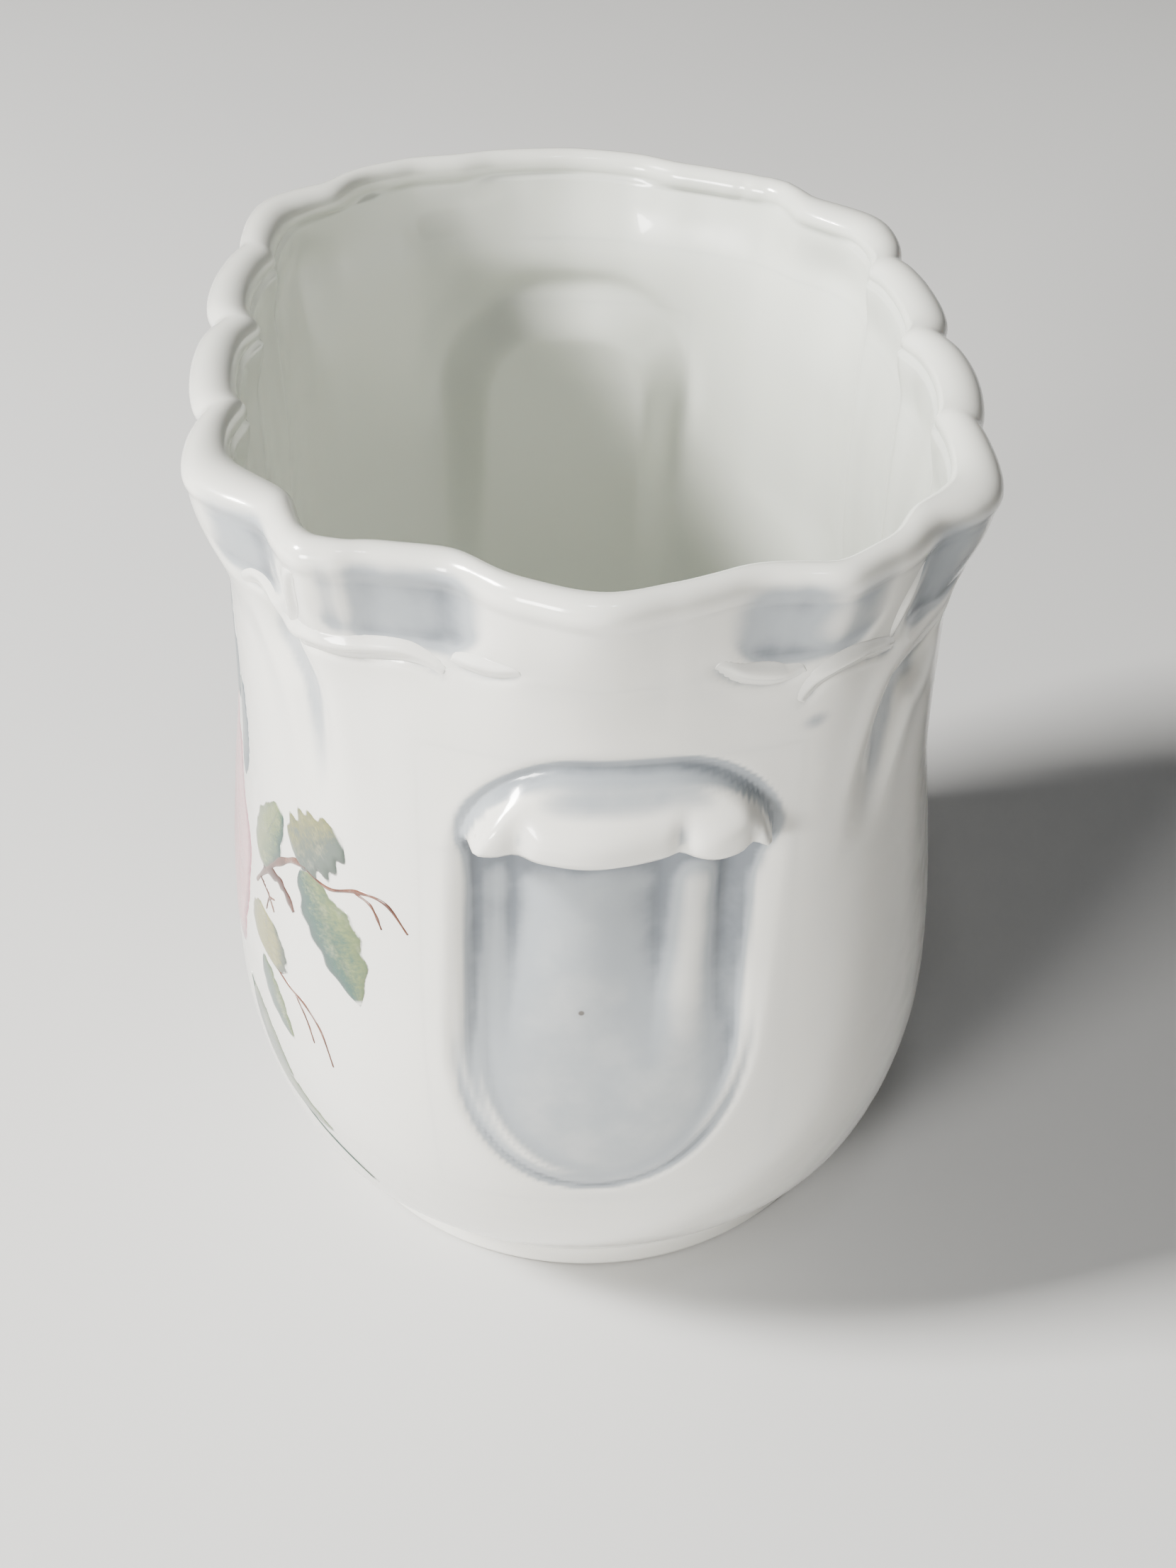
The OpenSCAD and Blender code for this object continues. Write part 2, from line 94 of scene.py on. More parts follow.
def profile(c, z):
    s = PROFILE
    q = np.clip(z, s[0, 0], s[-1, 0])
    i = np.clip(np.searchsorted(s[:, 0], q, side="right") - 1, 0, len(s) - 2)
    lo, hi = np.maximum(np.arange(len(s)) - 1, 0), np.minimum(np.arange(len(s)) + 1, len(s) - 1)
    slope = (s[hi, c] - s[lo, c]) / (s[hi, 0] - s[lo, 0])
    h = s[i + 1, 0] - s[i, 0]
    t = (q - s[i, 0]) / h
    return ((2 * t**3 - 3 * t**2 + 1) * s[i, c] + (t**3 - 2 * t**2 + t) * h * slope[i]
            + (3 * t**2 - 2 * t**3) * s[i + 1, c] + (t**3 - t**2) * h * slope[i + 1])


def plan_radius(phi, z):
    n = 2 + 0.5 * np.minimum(z / 60, 1)
    a = np.radians(phi)
    return ((np.abs(np.sin(a)) / profile(1, z))**n + (np.abs(np.cos(a)) / profile(2, z))**n)**(-1 / n)


def ramp(x, lo, hi):
    t = np.clip((x - lo) / (hi - lo), 0, 1)
    return t * t * (3 - 2 * t)


def bell(x, size):
    return np.exp(-(x / size)**2)


def turn(phi):
    return phi - 360 * np.floor((phi + 180) / 360)


def near_end(phi):
    """Angle from the nearer grip, so the back repeats the front."""
    q = turn(phi)
    return np.where(np.abs(q) > 90, turn(phi - 180), q)


# How far the rim stands outside the plain oval, against the angle from the nearer grip.
# The three runs meet in the sharp notches of the sides.
LEFT_RUN = [(-90, -0.4), (-84, 0.7), (-74, 1.1), (-65, 0.9), (-61, 0.3)]
END_RUN = [(-61, 0.3), (-56, 2.1), (-50, 3.4), (-45, 3.3), (-38, 1.2), (-34, 1.4), (-29.5, 1.9), (-23, -0.8),
           (-16, -2.2), (-8.5, -0.1), (-1.5, 1.4), (5, 0), (11.5, -1.4), (17, -0.6), (22, 0.9), (28, 0.2),
           (36, 0.8), (43.5, 3), (49, 2.6), (56, 1.3), (61, 0.3)]
RIGHT_RUN = [(61, 0.3), (66, 0.8), (75, 1.1), (84, 0.7), (90, -0.4)]


def spline(table, x):
    t = np.array(table, float)
    i = np.clip(np.searchsorted(t[:, 0], x, side="right") - 1, 0, len(t) - 2)
    lo, hi = np.maximum(np.arange(len(t)) - 1, 0), np.minimum(np.arange(len(t)) + 1, len(t) - 1)
    slope = (t[hi, 1] - t[lo, 1]) / (t[hi, 0] - t[lo, 0])
    h = t[i + 1, 0] - t[i, 0]
    f = (x - t[i, 0]) / h
    return ((2 * f**3 - 3 * f**2 + 1) * t[i, 1] + (f**3 - 2 * f**2 + f) * h * slope[i]
            + (3 * f**2 - 2 * f**3) * t[i + 1, 1] + (f**3 - f**2) * h * slope[i + 1])


def is_back(phi):
    return np.abs(turn(phi)) > 90


def lobe(phi):
    """Scallops of the rim, shallower over the back grip than over the front grip."""
    q = near_end(phi)
    calm = is_back(phi) * 0.65 * ramp(np.abs(q), 40, 26)
    run = np.where(q < -61, spline(LEFT_RUN, q), np.where(q > 61, spline(RIGHT_RUN, q), spline(END_RUN, q)))
    return (1 - calm) * run


def rim_extra(phi):
    """The rim is thicker at the sides and thickest at the corners."""
    a = np.abs(near_end(phi))
    return 1.1 * ramp(a, 26, 44) + 0.8 * bell(a - 46, 9)


def flute(phi, z):
    """Hollows under the bead beside the side notches."""
    a = np.abs(near_end(phi))
    near = np.maximum(bell(a - 63, 5), bell(a - 87, 5))
    return flute_depth * near * ramp(z, lip_low, lip_low + 2.5) * (1 - ramp(z, lip_top - 2.0, lip_top))


# ---------------------------------------------------------------- the moulded finger grips
LEDGE_LOBES = [(-10.8, 2.9, 0.5), (-2.6, 7.4, 0.8), (7.3, 3.3, 0.8), (11.9, 1.7, 0.6)]
grip_half = grip_width / 2


def grip_u(phi, z):
    lean = np.where(is_back(phi), -1, 1) * math.tan(math.radians(grip_lean))
    return near_end(phi) * ARC * plan_radius(phi * 0, z) - lean * (z - grip_pivot)


def grip_inset(u, z):
    """Distance inside the grip's outline: an arch on top, a long round tongue below."""
    a, b = grip_half, tongue
    x = np.abs(u)
    px, pz = x - (a - shoulder), z - (grip_top - shoulder)
    top = np.where((px > 0) & (pz > 0), shoulder - np.hypot(px, pz), np.minimum(a - x, grip_top - z))
    dz = grip_low + tongue - z
    k = np.sqrt((x / a)**2 + (dz / b)**2) + 1e-9
    low = (1 - k) * k / (np.sqrt((x / a**2)**2 + (dz / b**2)**2) + 1e-9)
    return np.where(dz > 0, np.clip(low, -40, a), top)


def ledge_lobes(u):
    best = np.zeros_like(u)
    for mid, half, size in LEDGE_LOBES:
        t = np.abs(u - mid) / half
        best = np.maximum(best, size * np.clip(1 - t * t, 0, 1)**2)
    return best


def recess_fade(z):
    return 0.12 + 0.88 * ramp(z, grip_low + 4, ledge_edge - 8)


def grip(phi, z):
    """Offset of the outside of the wall: a ledge over a shallow recess with a rim line round both."""
    u = grip_u(phi, z)
    inset = grip_inset(u, z)
    lobes = ledge_lobes(u)
    drop = 0.6 * lobes
    under = ramp(z, ledge_edge + 0.5 - drop, ledge_edge - 2.1 - drop)
    notches = 0.45 * (bell(u + 7.9, 0.9) + bell(u - 4.4, 0.8) + bell(u - 10.2, 0.7))
    crest = ramp(z, ledge_edge + 4.6, ledge_edge + 1.4)
    rise = (ledge_out + (0.7 * lobes - notches) * crest) * ramp(z, grip_top, ledge_edge + 1.2)
    fluting = 1.3 * lobes * ramp(z, grip_low + 12, ledge_edge - 6)
    shape = (1 - under) * rise + under * (fluting - recess_depth * recess_fade(z))
    groove = -0.4 * bell(inset - 0.1, 0.6)
    ridge = 0.25 * bell(inset - 1.9, 0.6) * ramp(z, grip_top - 7, grip_top - 12) * ramp(u, 1, -7)
    return ramp(inset, 0, 1.9) * shape + groove + ridge


def swelling(phi, z):
    """Inside the mug only the recess shows, as an arched swelling with a shallow valley over it."""
    inset = grip_inset(grip_u(phi, z), z)
    valley = 0.5 * bell(inset + 2.6, 1.3) * ramp(z, 62, 74)
    return recess_depth * recess_fade(z) * ramp(inset, -2.0, 3.5) - valley


# ---------------------------------------------------------------- moulded lines under the lip
LEFT_SCROLL = [(-42.7, 86.3), (-40.5, 86.9), (-38.4, 86.0), (-36.8, 84.2), (-34.3, 84.1), (-31.3, 84.9),
               (-27.3, 85.1), (-21.9, 85.7), (-19.1, 85.5), (-16.9, 84.8)]
LEFT_CURL = [(-16.2, 86.2), (-14, 85.8), (-11.6, 85.8), (-8.9, 86.5)]
LEFT_RIB = [(-31.2, 92.0), (-31.7, 90.4), (-32.4, 87.9), (-34.2, 85.4)]
RIGHT_SCROLL = [(31.5, 83.8), (29.5, 84.1), (25.6, 84.8), (22.6, 84.7), (20.6, 83.8), (19.2, 82.2)]
RIGHT_CURL = [(9.4, 86.9), (11.9, 85.4), (14.8, 84.8), (17, 84.8), (19, 85.5)]
RIGHT_RIB = [(33.6, 91.6), (32.8, 89.4), (31.9, 87.2), (31, 85)]
LEFT_FOLD = [(-38.4, 86.2), (-37.2, 83.4), (-35.4, 81.4), (-33.4, 78.6), (-32.2, 73), (-31.8, 66)]
RIGHT_FOLD = [(44, 82.0), (38.2, 79.9), (34.6, 78.6), (32.6, 75.4), (31.2, 70), (30.8, 63)]
RIGHT_CREASE = [(46, 84.6), (42.4, 81.9), (39, 80.6), (35.7, 80.2), (32.4, 80.6)]


def curve(path, count):
    """Smooth curve through listed points."""
    p = np.array(path, float)
    n = len(p) - 1
    t = np.linspace(0, n, count)
    i = np.minimum(t.astype(int), n - 1)
    f = (t - i)[:, None]
    a, b, c, d = p[np.maximum(i - 1, 0)], p[i], p[i + 1], p[np.minimum(i + 2, n)]
    return b + 0.5 * f * (c - a + f * (2 * a - 5 * b + 4 * c - d + f * (3 * (b - c) + d - a)))


def path_distance(q, z, path, size):
    """Signed distance from a line on the wall, positive above it, and the place along it."""
    p = curve(path, 26) * [size, 1]
    x = q * size
    best = np.full(np.shape(x), 1e9)
    side = np.zeros(np.shape(x))
    place = np.zeros(np.shape(x))
    for k in range(len(p) - 1):
        d = p[k + 1] - p[k]
        t = np.clip(((x - p[k, 0]) * d[0] + (z - p[k, 1]) * d[1]) / (d @ d), 0, 1)
        ex, ez = x - p[k, 0] - t * d[0], z - p[k, 1] - t * d[1]
        dist = np.hypot(ex, ez)
        s = np.sign(d[0] * ez - d[1] * ex) * (1 if p[-1, 0] > p[0, 0] else -1)
        near = dist < best
        best = np.where(near, dist, best)
        side = np.where(near, s, side)
        place = np.where(near, (k + t) / (len(p) - 1), place)
    return best * np.where(side == 0, 1, side), place


# Hollow cells between the bead and the scrolls: angles of their sides, height of their lower edge
CELLS = [(-48.5, -33.0, 86.6), (-31.6, -12.0, 86.0), (10.6, 27.8, 85.6), (31.4, 47.5, 83.8)]


def cells(q, z):
    out = np.zeros(np.shape(q))
    for lo, hi, low in CELLS:
        edge = np.minimum(q - lo, hi - q)
        mid = (2 * q - lo - hi) / (hi - lo)
        floor_line = low + 2.4 * mid**4
        out = np.maximum(out, ramp(edge, -1.5, 5.2) * ramp(z, floor_line - 0.8, floor_line + 1.8))
    rib = 0.25 * bell(q + 26.6, 1.1)
    return out * (1 - rib) * ramp(z, lip_top + 2.0, lip_top - 0.4)


def relief(phi, z):
    """Shallow modelling of the wall near the scrolls: hollow cells, creases and soft folds."""
    q = near_end(phi)
    out = np.zeros(np.broadcast(q, z).shape)
    q, z = np.broadcast_arrays(q, z)
    band = (z > 64) & (np.abs(q) < 62)
    qb, zb = q[band], z[band]
    r = np.zeros(len(qb))
    for path, deep in ((LEFT_SCROLL, 0.55), (LEFT_CURL, 0.3), (RIGHT_SCROLL, 0.55), (RIGHT_CURL, 0.36),
                       (LEFT_RIB, 0.36), (RIGHT_RIB, 0.36), (RIGHT_CREASE, 0.45)):
        d, t = path_distance(qb, zb, path, SCROLL_ARC)
        fade = np.sin(np.pi * np.clip(t, 0.02, 0.98))**0.5
        r -= deep * fade * bell(d, 0.5)
    r -= 0.7 * cells(qb, zb)
    for path, deep, wide in ((LEFT_FOLD, 1.0, 1.9), (RIGHT_FOLD, 1.1, 2.2)):
        d, t = path_distance(qb, zb, path, SCROLL_ARC)
        fade = ramp(t, 0, 0.25) * ramp(t, 1, 0.55)
        r += fade * (-deep * bell(d, wide) + 0.3 * deep * bell(np.abs(d) - 3.4, 1.7))
    out[band] = r
    return out


# ---------------------------------------------------------------- the wall
def lobe_share(z, inside=False):
    if inside:
        return 0.35 * ramp(z, 38, 74) + 0.65 * ramp(z, 76, 93)
    return 0.2 * ramp(z, 44, 76) + 0.8 * ramp(z, 80, 92.5)


def outer(phi, z, plain=False):
    phi, z = np.broadcast_arrays(np.asarray(phi, float), np.asarray(z, float))
    r = plan_radius(phi, z) + lobe_share(z) * lobe(phi) - flute(phi, z) + grip(phi, z)
    return r if plain else r + relief(phi, z) - skin


def inner_height(z):
    return floor_height + (z - foot_height) * (mug_height - floor_height) / span


def inner(phi, z):
    phi, z = np.broadcast_arrays(np.asarray(phi, float), np.asarray(z, float))
    fillet = 5 * np.maximum(0, 1 - (z - floor_height) / 9)**2
    thick = rim_extra(phi) * ramp(z, 87, 92.5)
    return plan_radius(phi, z) + lobe_share(z, True) * lobe(phi) - swelling(phi, z) - wall - thick - fillet


def settle(p):
    """The small lean of the belly and tilt of the rim that the piece took in the kiln."""
    t = p[..., 2] / mug_height
    out = p.copy()
    out[..., 0] = p[..., 0] - belly_lean * np.sin(np.pi * t)
    out[..., 2] = p[..., 2] - t * t * rim_tilt * p[..., 0] / (mouth_width / 2)
    return out


def wall_point(r, phi, z):
    r, phi, z = np.broadcast_arrays(r, phi, np.asarray(z, float))
    a = np.radians(phi)
    return settle(np.stack([r * np.sin(a), -r * np.cos(a), z], -1))


def steps(lo, hi, size):
    return list(np.linspace(lo, hi, max(1, round((hi - lo) / size)) + 1)[:-1])


fine, coarse = 0.62, 1.0
columns = np.array(steps(-20, 20, fine) + steps(20, 48, fine) + steps(48, 132, coarse) + steps(132, 160, fine)
                   + steps(160, 200, fine) + steps(200, 228, fine) + steps(228, 312, coarse) + steps(312, 340, fine))
grip_seam, recess_seam, ledge_seam, ledge_top_seam = 20, 27.0, 68.5, 78.5
rows = np.array(steps(foot_height, 9, 0.75) + steps(9, recess_seam, 1.3) + steps(recess_seam, 62, 0.6)
                + steps(62, ledge_seam, 0.5) + steps(ledge_seam, ledge_top_seam, 0.42)
                + steps(ledge_top_seam, lip_low, 0.42) + steps(lip_low, lip_top, 0.42) + [lip_top])
ncol, nrow = len(columns), len(rows)
row_at = lambda z: int(np.argmin(np.abs(rows - z)))
col_at = lambda a: int(np.argmin(np.abs(columns - a)))

# One section, from the foot up outside, over the bead and down inside, turned round the mug
PHI, Z = np.meshgrid(columns, rows)
outer_r = outer(PHI, Z)
outside = wall_point(outer_r, PHI, Z)
ZI = inner_height(Z)
inner_r = inner(PHI, ZI)
inside = wall_point(inner_r, PHI, ZI)
bead_steps = 18
bead_half = (wall + 0.2 + rim_extra(columns)) / 2
bead = []
for s in range(bead_steps + 1):
    w = math.radians(BEAD_START + BEAD_SWEEP * s / bead_steps)
    bead.append(wall_point(outer_r[-1] + bead_overhang - bead_half * (1 - math.cos(w)), columns,
                           np.full(ncol, mug_height - bead_radius + (bead_radius - skin) * math.sin(w))))
section = np.concatenate([outside, np.array(bead), inside[::-1]])
along = np.gradient(section, axis=0)
round_ = np.roll(section, -1, 1) - np.roll(section, 1, 1)
normal = np.cross(round_, along)
normal /= np.linalg.norm(normal, axis=2, keepdims=True)
inner_row = lambda j: len(section) - 1 - j

# Painted shade, partly pooled glaze: round the grips, in cells, creases and hollows and under the bead; and what lies
# inside the mug, which is painted in shade too
u = grip_u(PHI, Z)
inset = grip_inset(u, Z)
# Painted shade on the grips: a bluish band over each ledge, the shadow under it, and darker creases round the
# outline, partly glaze pooled there.
shade_above_ledge = 0.62 * ramp(Z, ledge_edge + 2.6, ledge_edge + 5.0)
shadow_below_ledge = ramp(Z, ledge_edge - 0.2, ledge_edge - 1.6) * (
    0.66 + 0.25 * ramp(Z, ledge_edge - 20, ledge_edge - 6) + 0.75 * ramp(Z, ledge_edge - 6.5, ledge_edge - 2.6))
crease_shade = 0.4 * bell(inset - 0.1, 0.8) + 0.3 * bell(inset - 0.6, 1.1) * ramp(Z, grip_low + 12, grip_low + 2)
grip_shade = ramp(inset, -0.4, 1.6) * np.maximum(shade_above_ledge, shadow_below_ledge) + crease_shade
# A small darker spot at 21 degrees from each grip and 80 mm up, just below the end of the right scroll.
dark_spot = 0.7 * bell(near_end(PHI) - 21, 1.6) * bell(Z - 80.2, 0.9)
# Painted shade in hollows: darker where the wall lies below its smoothed neighbours.
blur = outer_r.copy()
for _ in range(10):
    blur[1:-1] = (blur[:-2] + 2 * blur[1:-1] + blur[2:]) / 4
    blur = (np.roll(blur, 1, 1) + 2 * blur + np.roll(blur, -1, 1)) / 4
hollow_shade = np.clip((blur - outer_r) * 6.0, -1, 1)
# Painted shade in the hollow cells under the bead and in the flutes beside the notches, partly pooled glaze.
cell_shade = 0.8 * cells(near_end(PHI), Z) + 0.3 * flute(PHI, Z) / flute_depth
pool_and_shade_out = np.clip(grip_shade + cell_shade + dark_spot + 0.6 * hollow_shade, 0, 1.6)
# Painted shade on the underside of the bead, carried over from the top of the lip.
bead_shade = ramp(np.arange(bead_steps + 1), 6, 0)[:, None] * pool_and_shade_out[-1]
pool_and_shade = np.concatenate([pool_and_shade_out, bead_shade, np.zeros((nrow, ncol))])
# Painted shade inside the mug: 0 outside, 1 inside, ramping over the bead.
within = np.concatenate([np.zeros((nrow, ncol)), np.linspace(0, 1, bead_steps + 1)[:, None] * np.ones((1, ncol)),
                         np.ones((nrow, ncol))])


def make_mesh(name, points, faces, normals=None, attributes=None, uv=None):
    """Mesh object from points in millimetres. Faces is a list of index lists."""
    mesh = bpy.data.meshes.new(name)
    mesh.from_pydata((np.asarray(points) * MM).tolist(), [], [list(map(int, f)) for f in faces])
    mesh.update()
    mesh.shade_smooth()
    for key, values in (attributes or {}).items():
        layer = mesh.attributes.new(key, "FLOAT", "POINT")
        layer.data.foreach_set("value", np.asarray(values, np.float32))
    if uv is not None:
        layer = mesh.uv_layers.new(name="UVMap")
        index = np.zeros(len(mesh.loops), int)
        mesh.loops.foreach_get("vertex_index", index)
        layer.data.foreach_set("uv", np.asarray(uv, np.float32)[index].ravel())
    if normals is not None:
        mesh.normals_split_custom_set(normals)
    obj = bpy.data.objects.new(name, mesh)
    bpy.context.scene.collection.objects.link(obj)
    return obj


def skin_piece(name, cells, flat_faces):
    """Piece of the mug: cells of the section grid, and the hidden faces that close it."""
    used = np.unique(np.array(list(cells) + [f for f in flat_faces]).ravel())
    order = {int(v): k for k, v in enumerate(used)}
    pts = section.reshape(-1, 3)[used]
    flat_n = normal.reshape(-1, 3)
    faces, normals = [], []
    for f in cells:
        faces.append([order[int(v)] for v in f])
        normals += [flat_n[int(v)] for v in f]
    for f in flat_faces:
        a, b, c, d = (section.reshape(-1, 3)[int(v)] for v in f)
        n = np.cross(c - a, d - b)
        n /= np.linalg.norm(n) + 1e-12
        faces.append([order[int(v)] for v in f])
        normals += [n] * 4
    return make_mesh(name, pts, faces, normals, {"pool_and_shade": pool_and_shade.ravel()[used], "within": within.ravel()[used]})


def grid_cells(j0, j1, i0=0, i1=None, skip=None):
    count = ncol if i1 is None else i1 - i0
    out = []
    for j in range(j0, j1):
        for k in range(count):
            i = (i0 + k) % ncol
            if skip and skip(j, i):
                continue
            a, b = j * ncol + i, j * ncol + (i + 1) % ncol
            out.append((a, b, b + ncol, a + ncol))
    return out


r0, r1, r2 = row_at(recess_seam), row_at(ledge_seam), row_at(ledge_top_seam)
r3, r4 = row_at(lip_low), nrow - 1
last = len(section) - 1
front0, front1 = col_at(-grip_seam), col_at(grip_seam)
back0, back1 = col_at(180 - grip_seam), col_at(180 + grip_seam)


def cut_ring(j, up):
    """Hidden face between the outer and the inner skin at one row, all the way round."""
    out = []
    for i in range(ncol):
        k = (i + 1) % ncol
        a, b, c, d = j * ncol + i, j * ncol + k, inner_row(j) * ncol + k, inner_row(j) * ncol + i
        out.append((a, b, c, d) if up else (d, c, b, a))
    return out


def cut_row(j, i0, i1, up):
    out = []
    for i in range(i0, i1):
        a, b, c, d = j * ncol + i, j * ncol + i + 1, inner_row(j) * ncol + i + 1, inner_row(j) * ncol + i
        out.append((a, b, c, d) if up else (d, c, b, a))
    return out


def cut_column(i, j0, j1, right):
    out = []
    for j in range(j0, j1):
        a, b, c, d = j * ncol + i, (j + 1) * ncol + i, inner_row(j + 1) * ncol + i, inner_row(j) * ncol + i
        out.append((d, c, b, a) if right else (a, b, c, d))
    return out


def grip_panel(name, j0, j1, i0, i1):
    cells = grid_cells(j0, j1, i0, i1) + grid_cells(inner_row(j1), inner_row(j0), i0, i1)
    hidden = cut_row(j1, i0, i1, True) + cut_row(j0, i0, i1, False)
    hidden += cut_column(i0, j0, j1, False) + cut_column(i1, j0, j1, True)
    return skin_piece(name, cells, hidden)


def in_panel(j, i):
    return r0 <= j < r2 and (front0 <= i < front1 or back0 <= i < back1)


pieces = {}
pieces["front_grip_recess"] = grip_panel("front_grip_recess_glazed", r0, r1, front0, front1)
pieces["front_grip_ledge"] = grip_panel("front_grip_ledge_glazed", r1, r2, front0, front1)
pieces["back_grip_recess"] = grip_panel("back_grip_recess_glazed", r0, r1, back0, back1)
pieces["back_grip_ledge"] = grip_panel("back_grip_ledge_glazed", r1, r2, back0, back1)
pieces["fluted_lip"] = skin_piece("fluted_lip_glazed", grid_cells(r3, r4) + grid_cells(inner_row(r4), inner_row(r3)),
                                  cut_ring(r4, True) + cut_ring(r3, False))
pieces["rim_bead"] = skin_piece("rim_bead_glazed", grid_cells(r4, inner_row(r4)), cut_ring(r4, False))


def body_piece():
    """The body, with its floor and the recessed underside closed by rings to the middle."""
    outer_cells = grid_cells(0, r3, skip=in_panel)
    inner_cells = grid_cells(inner_row(r3), last, skip=lambda j, i: in_panel(last - 1 - j, i))
    hidden = cut_ring(r3, True)
    for i0, i1 in ((front0, front1), (back0, back1)):
        hidden += cut_row(r0, i0, i1, True) + cut_row(r2, i0, i1, False)
        hidden += cut_column(i0, r0, r2, True) + cut_column(i1, r0, r2, False)
    flat = section.reshape(-1, 3)
    points, faces, normals = list(flat), [], []
    flat_n = normal.reshape(-1, 3)
    for f in outer_cells + inner_cells:
        faces.append(f)
        normals += [flat_n[v] for v in f]
    for f in hidden:
        a, b, c, d = (flat[v] for v in f)
        n = np.cross(c - a, d - b)
        faces.append(f)
        normals += [n / (np.linalg.norm(n) + 1e-12)] * 4
    pool_and_shade_all, within_all = list(pool_and_shade.ravel()), list(within.ravel())
    for start, up, z_mid in ((0, False, foot_height), (last * ncol, True, floor_height)):
        ring = [start + i for i in range(ncol)]
        shares = [0.94, 0.86, 0.74, 0.6, 0.45, 0.3, 0.15]
        sign = 1 if up else -1
        centre = settle(np.array([0.0, 0.0, z_mid]))
        base = flat[start:start + ncol]
        for share in shares + [None]:
            if share is None:
                points.append(centre)
                pool_and_shade_all.append(0)
                within_all.append(1.0 if up else 0.0)
                m = len(points) - 1
                for i in range(ncol):
                    k = (i + 1) % ncol
                    faces.append((ring[i], ring[k], m) if up else (ring[k], ring[i], m))
                    normals += [(0, 0, sign)] * 3
                break
            new = [len(points) + i for i in range(ncol)]
            points += list(centre + (base - centre) * share)
            pool_and_shade_all += [0] * ncol
            within_all += [1.0 if up else 0.0] * ncol
            for i in range(ncol):
                k = (i + 1) % ncol
                f = (ring[i], ring[k], new[k], new[i]) if up else (ring[k], ring[i], new[i], new[k])
                faces.append(f)
                blend = [flat_n[v] if up and v < len(flat) else (0, 0, sign) for v in f]
                normals += blend
            ring = new
    used = np.unique(np.concatenate([np.array(f) for f in faces]))
    order = np.full(len(points), -1)
    order[used] = np.arange(len(used))
    faces = [[order[v] for v in f] for f in faces]
    return make_mesh("mug_body_glazed", np.array(points)[used], faces, normals,
                     {"pool_and_shade": np.array(pool_and_shade_all)[used], "within": np.array(within_all)[used]})


pieces["mug_body"] = body_piece()


def foot_piece():
    """Foot ring, turned: a flat standing edge with a worn, unglazed contact line."""
    r, h, w = foot_radius, foot_height, foot_width
    rings = [(r - w, 0.35), (r - w + 0.12, 0.12), (r - w + 0.4, 0.0), (r - 0.75, 0.0),
             (r - 0.35, 0.1), (r - 0.1, 0.38), (r, 0.8), (r - 0.02, h - 1.1),
             (r - 0.08, h - 0.5), (r - 0.3, h - 0.14), (r - 0.5, h),
             (r - w - 1.2, h), (r - w - 0.75, h - 1.2), (r - w - 0.3, 1.0)]
    n = 240
    a = np.radians(np.arange(n) * 360 / n)
    pts = np.array([[(q * math.sin(t), -q * math.cos(t), z) for t in a] for q, z in rings])
    faces = []
    m = len(rings)
    for j in range(m):
        for i in range(n):
            k = (i + 1) % n
            jj = (j + 1) % m
            faces.append((j * n + i, j * n + k, jj * n + k, jj * n + i))
    worn = np.repeat([1.0 if z < 0.2 else 0.0 for _, z in rings], n)
    obj = make_mesh("foot_ring_glazed", pts.reshape(-1, 3), faces, None,
                    {"pool_and_shade": np.zeros(m * n), "within": np.zeros(m * n), "worn": worn})
    return obj


pieces["foot_ring"] = foot_piece()


# ---------------------------------------------------------------- patches that hug the wall
class Patches:
    """Several thin closed skins on the wall, joined in one piece."""

    def __init__(self):
        self.points, self.faces, self.uv, self.extra, self.count = [], [], [], [], 0

    def add(self, phi, z, lift, sink, uv, extra=0.0):
        """phi, z, lift: arrays (n, m). The outer face is lift above the wall and the hidden one sink below it."""
        n, m = phi.shape
        r = outer(phi, z)
        top = wall_point(r + lift, phi, z).reshape(-1, 3)
        low = wall_point(r - sink, phi, z).reshape(-1, 3)
        k, c = n * m, self.count
        p = top.reshape(n, m, 3)
        down, across = p[-1, m // 2] - p[0, m // 2], p[n // 2, m - 1] - p[n // 2, 0]
        flip = np.dot(np.cross(down, across), p[n // 2, m // 2] * [1, 1, 0]) < 0
        faces = []
        for j in range(n - 1):
            for i in range(m - 1):
                a, b = j * m + i, (j + 1) * m + i
                faces.append((a, b, b + 1, a + 1))
                faces.append((k + a, k + a + 1, k + b + 1, k + b))
        for j in range(n - 1):
            a, b, e, f = j * m, (j + 1) * m, j * m + m - 1, (j + 1) * m + m - 1
            faces.append((b, a, k + a, k + b))
            faces.append((e, f, k + f, k + e))
        for i in range(m - 1):
            t = (n - 1) * m + i
            faces.append((i, i + 1, k + i + 1, k + i))
            faces.append((t + 1, t, k + t, k + t + 1))
        if flip:
            faces = [f[::-1] for f in faces]
        self.points += list(top) + list(low)
        self.faces += [tuple(v + c for v in f) for f in faces]
        flat = np.asarray(uv, float).reshape(-1, 2)
        self.uv += list(flat) + list(flat)
        self.extra += [extra] * (2 * k)
        self.count += 2 * k

    def build(self, name):
        return make_mesh(name, np.array(self.points), self.faces, None,
                         {"tone": np.array(self.extra), "pool_and_shade": np.zeros(self.count), "within": np.zeros(self.count)},
                         np.array(self.uv))


def place(mid, a, b):
    """Angle and height of a point a millimetres to the right of and b above a middle point on the wall."""
    return mid[0] + a * DEGREES / outer(mid[0], mid[1], plain=True), mid[1] + b


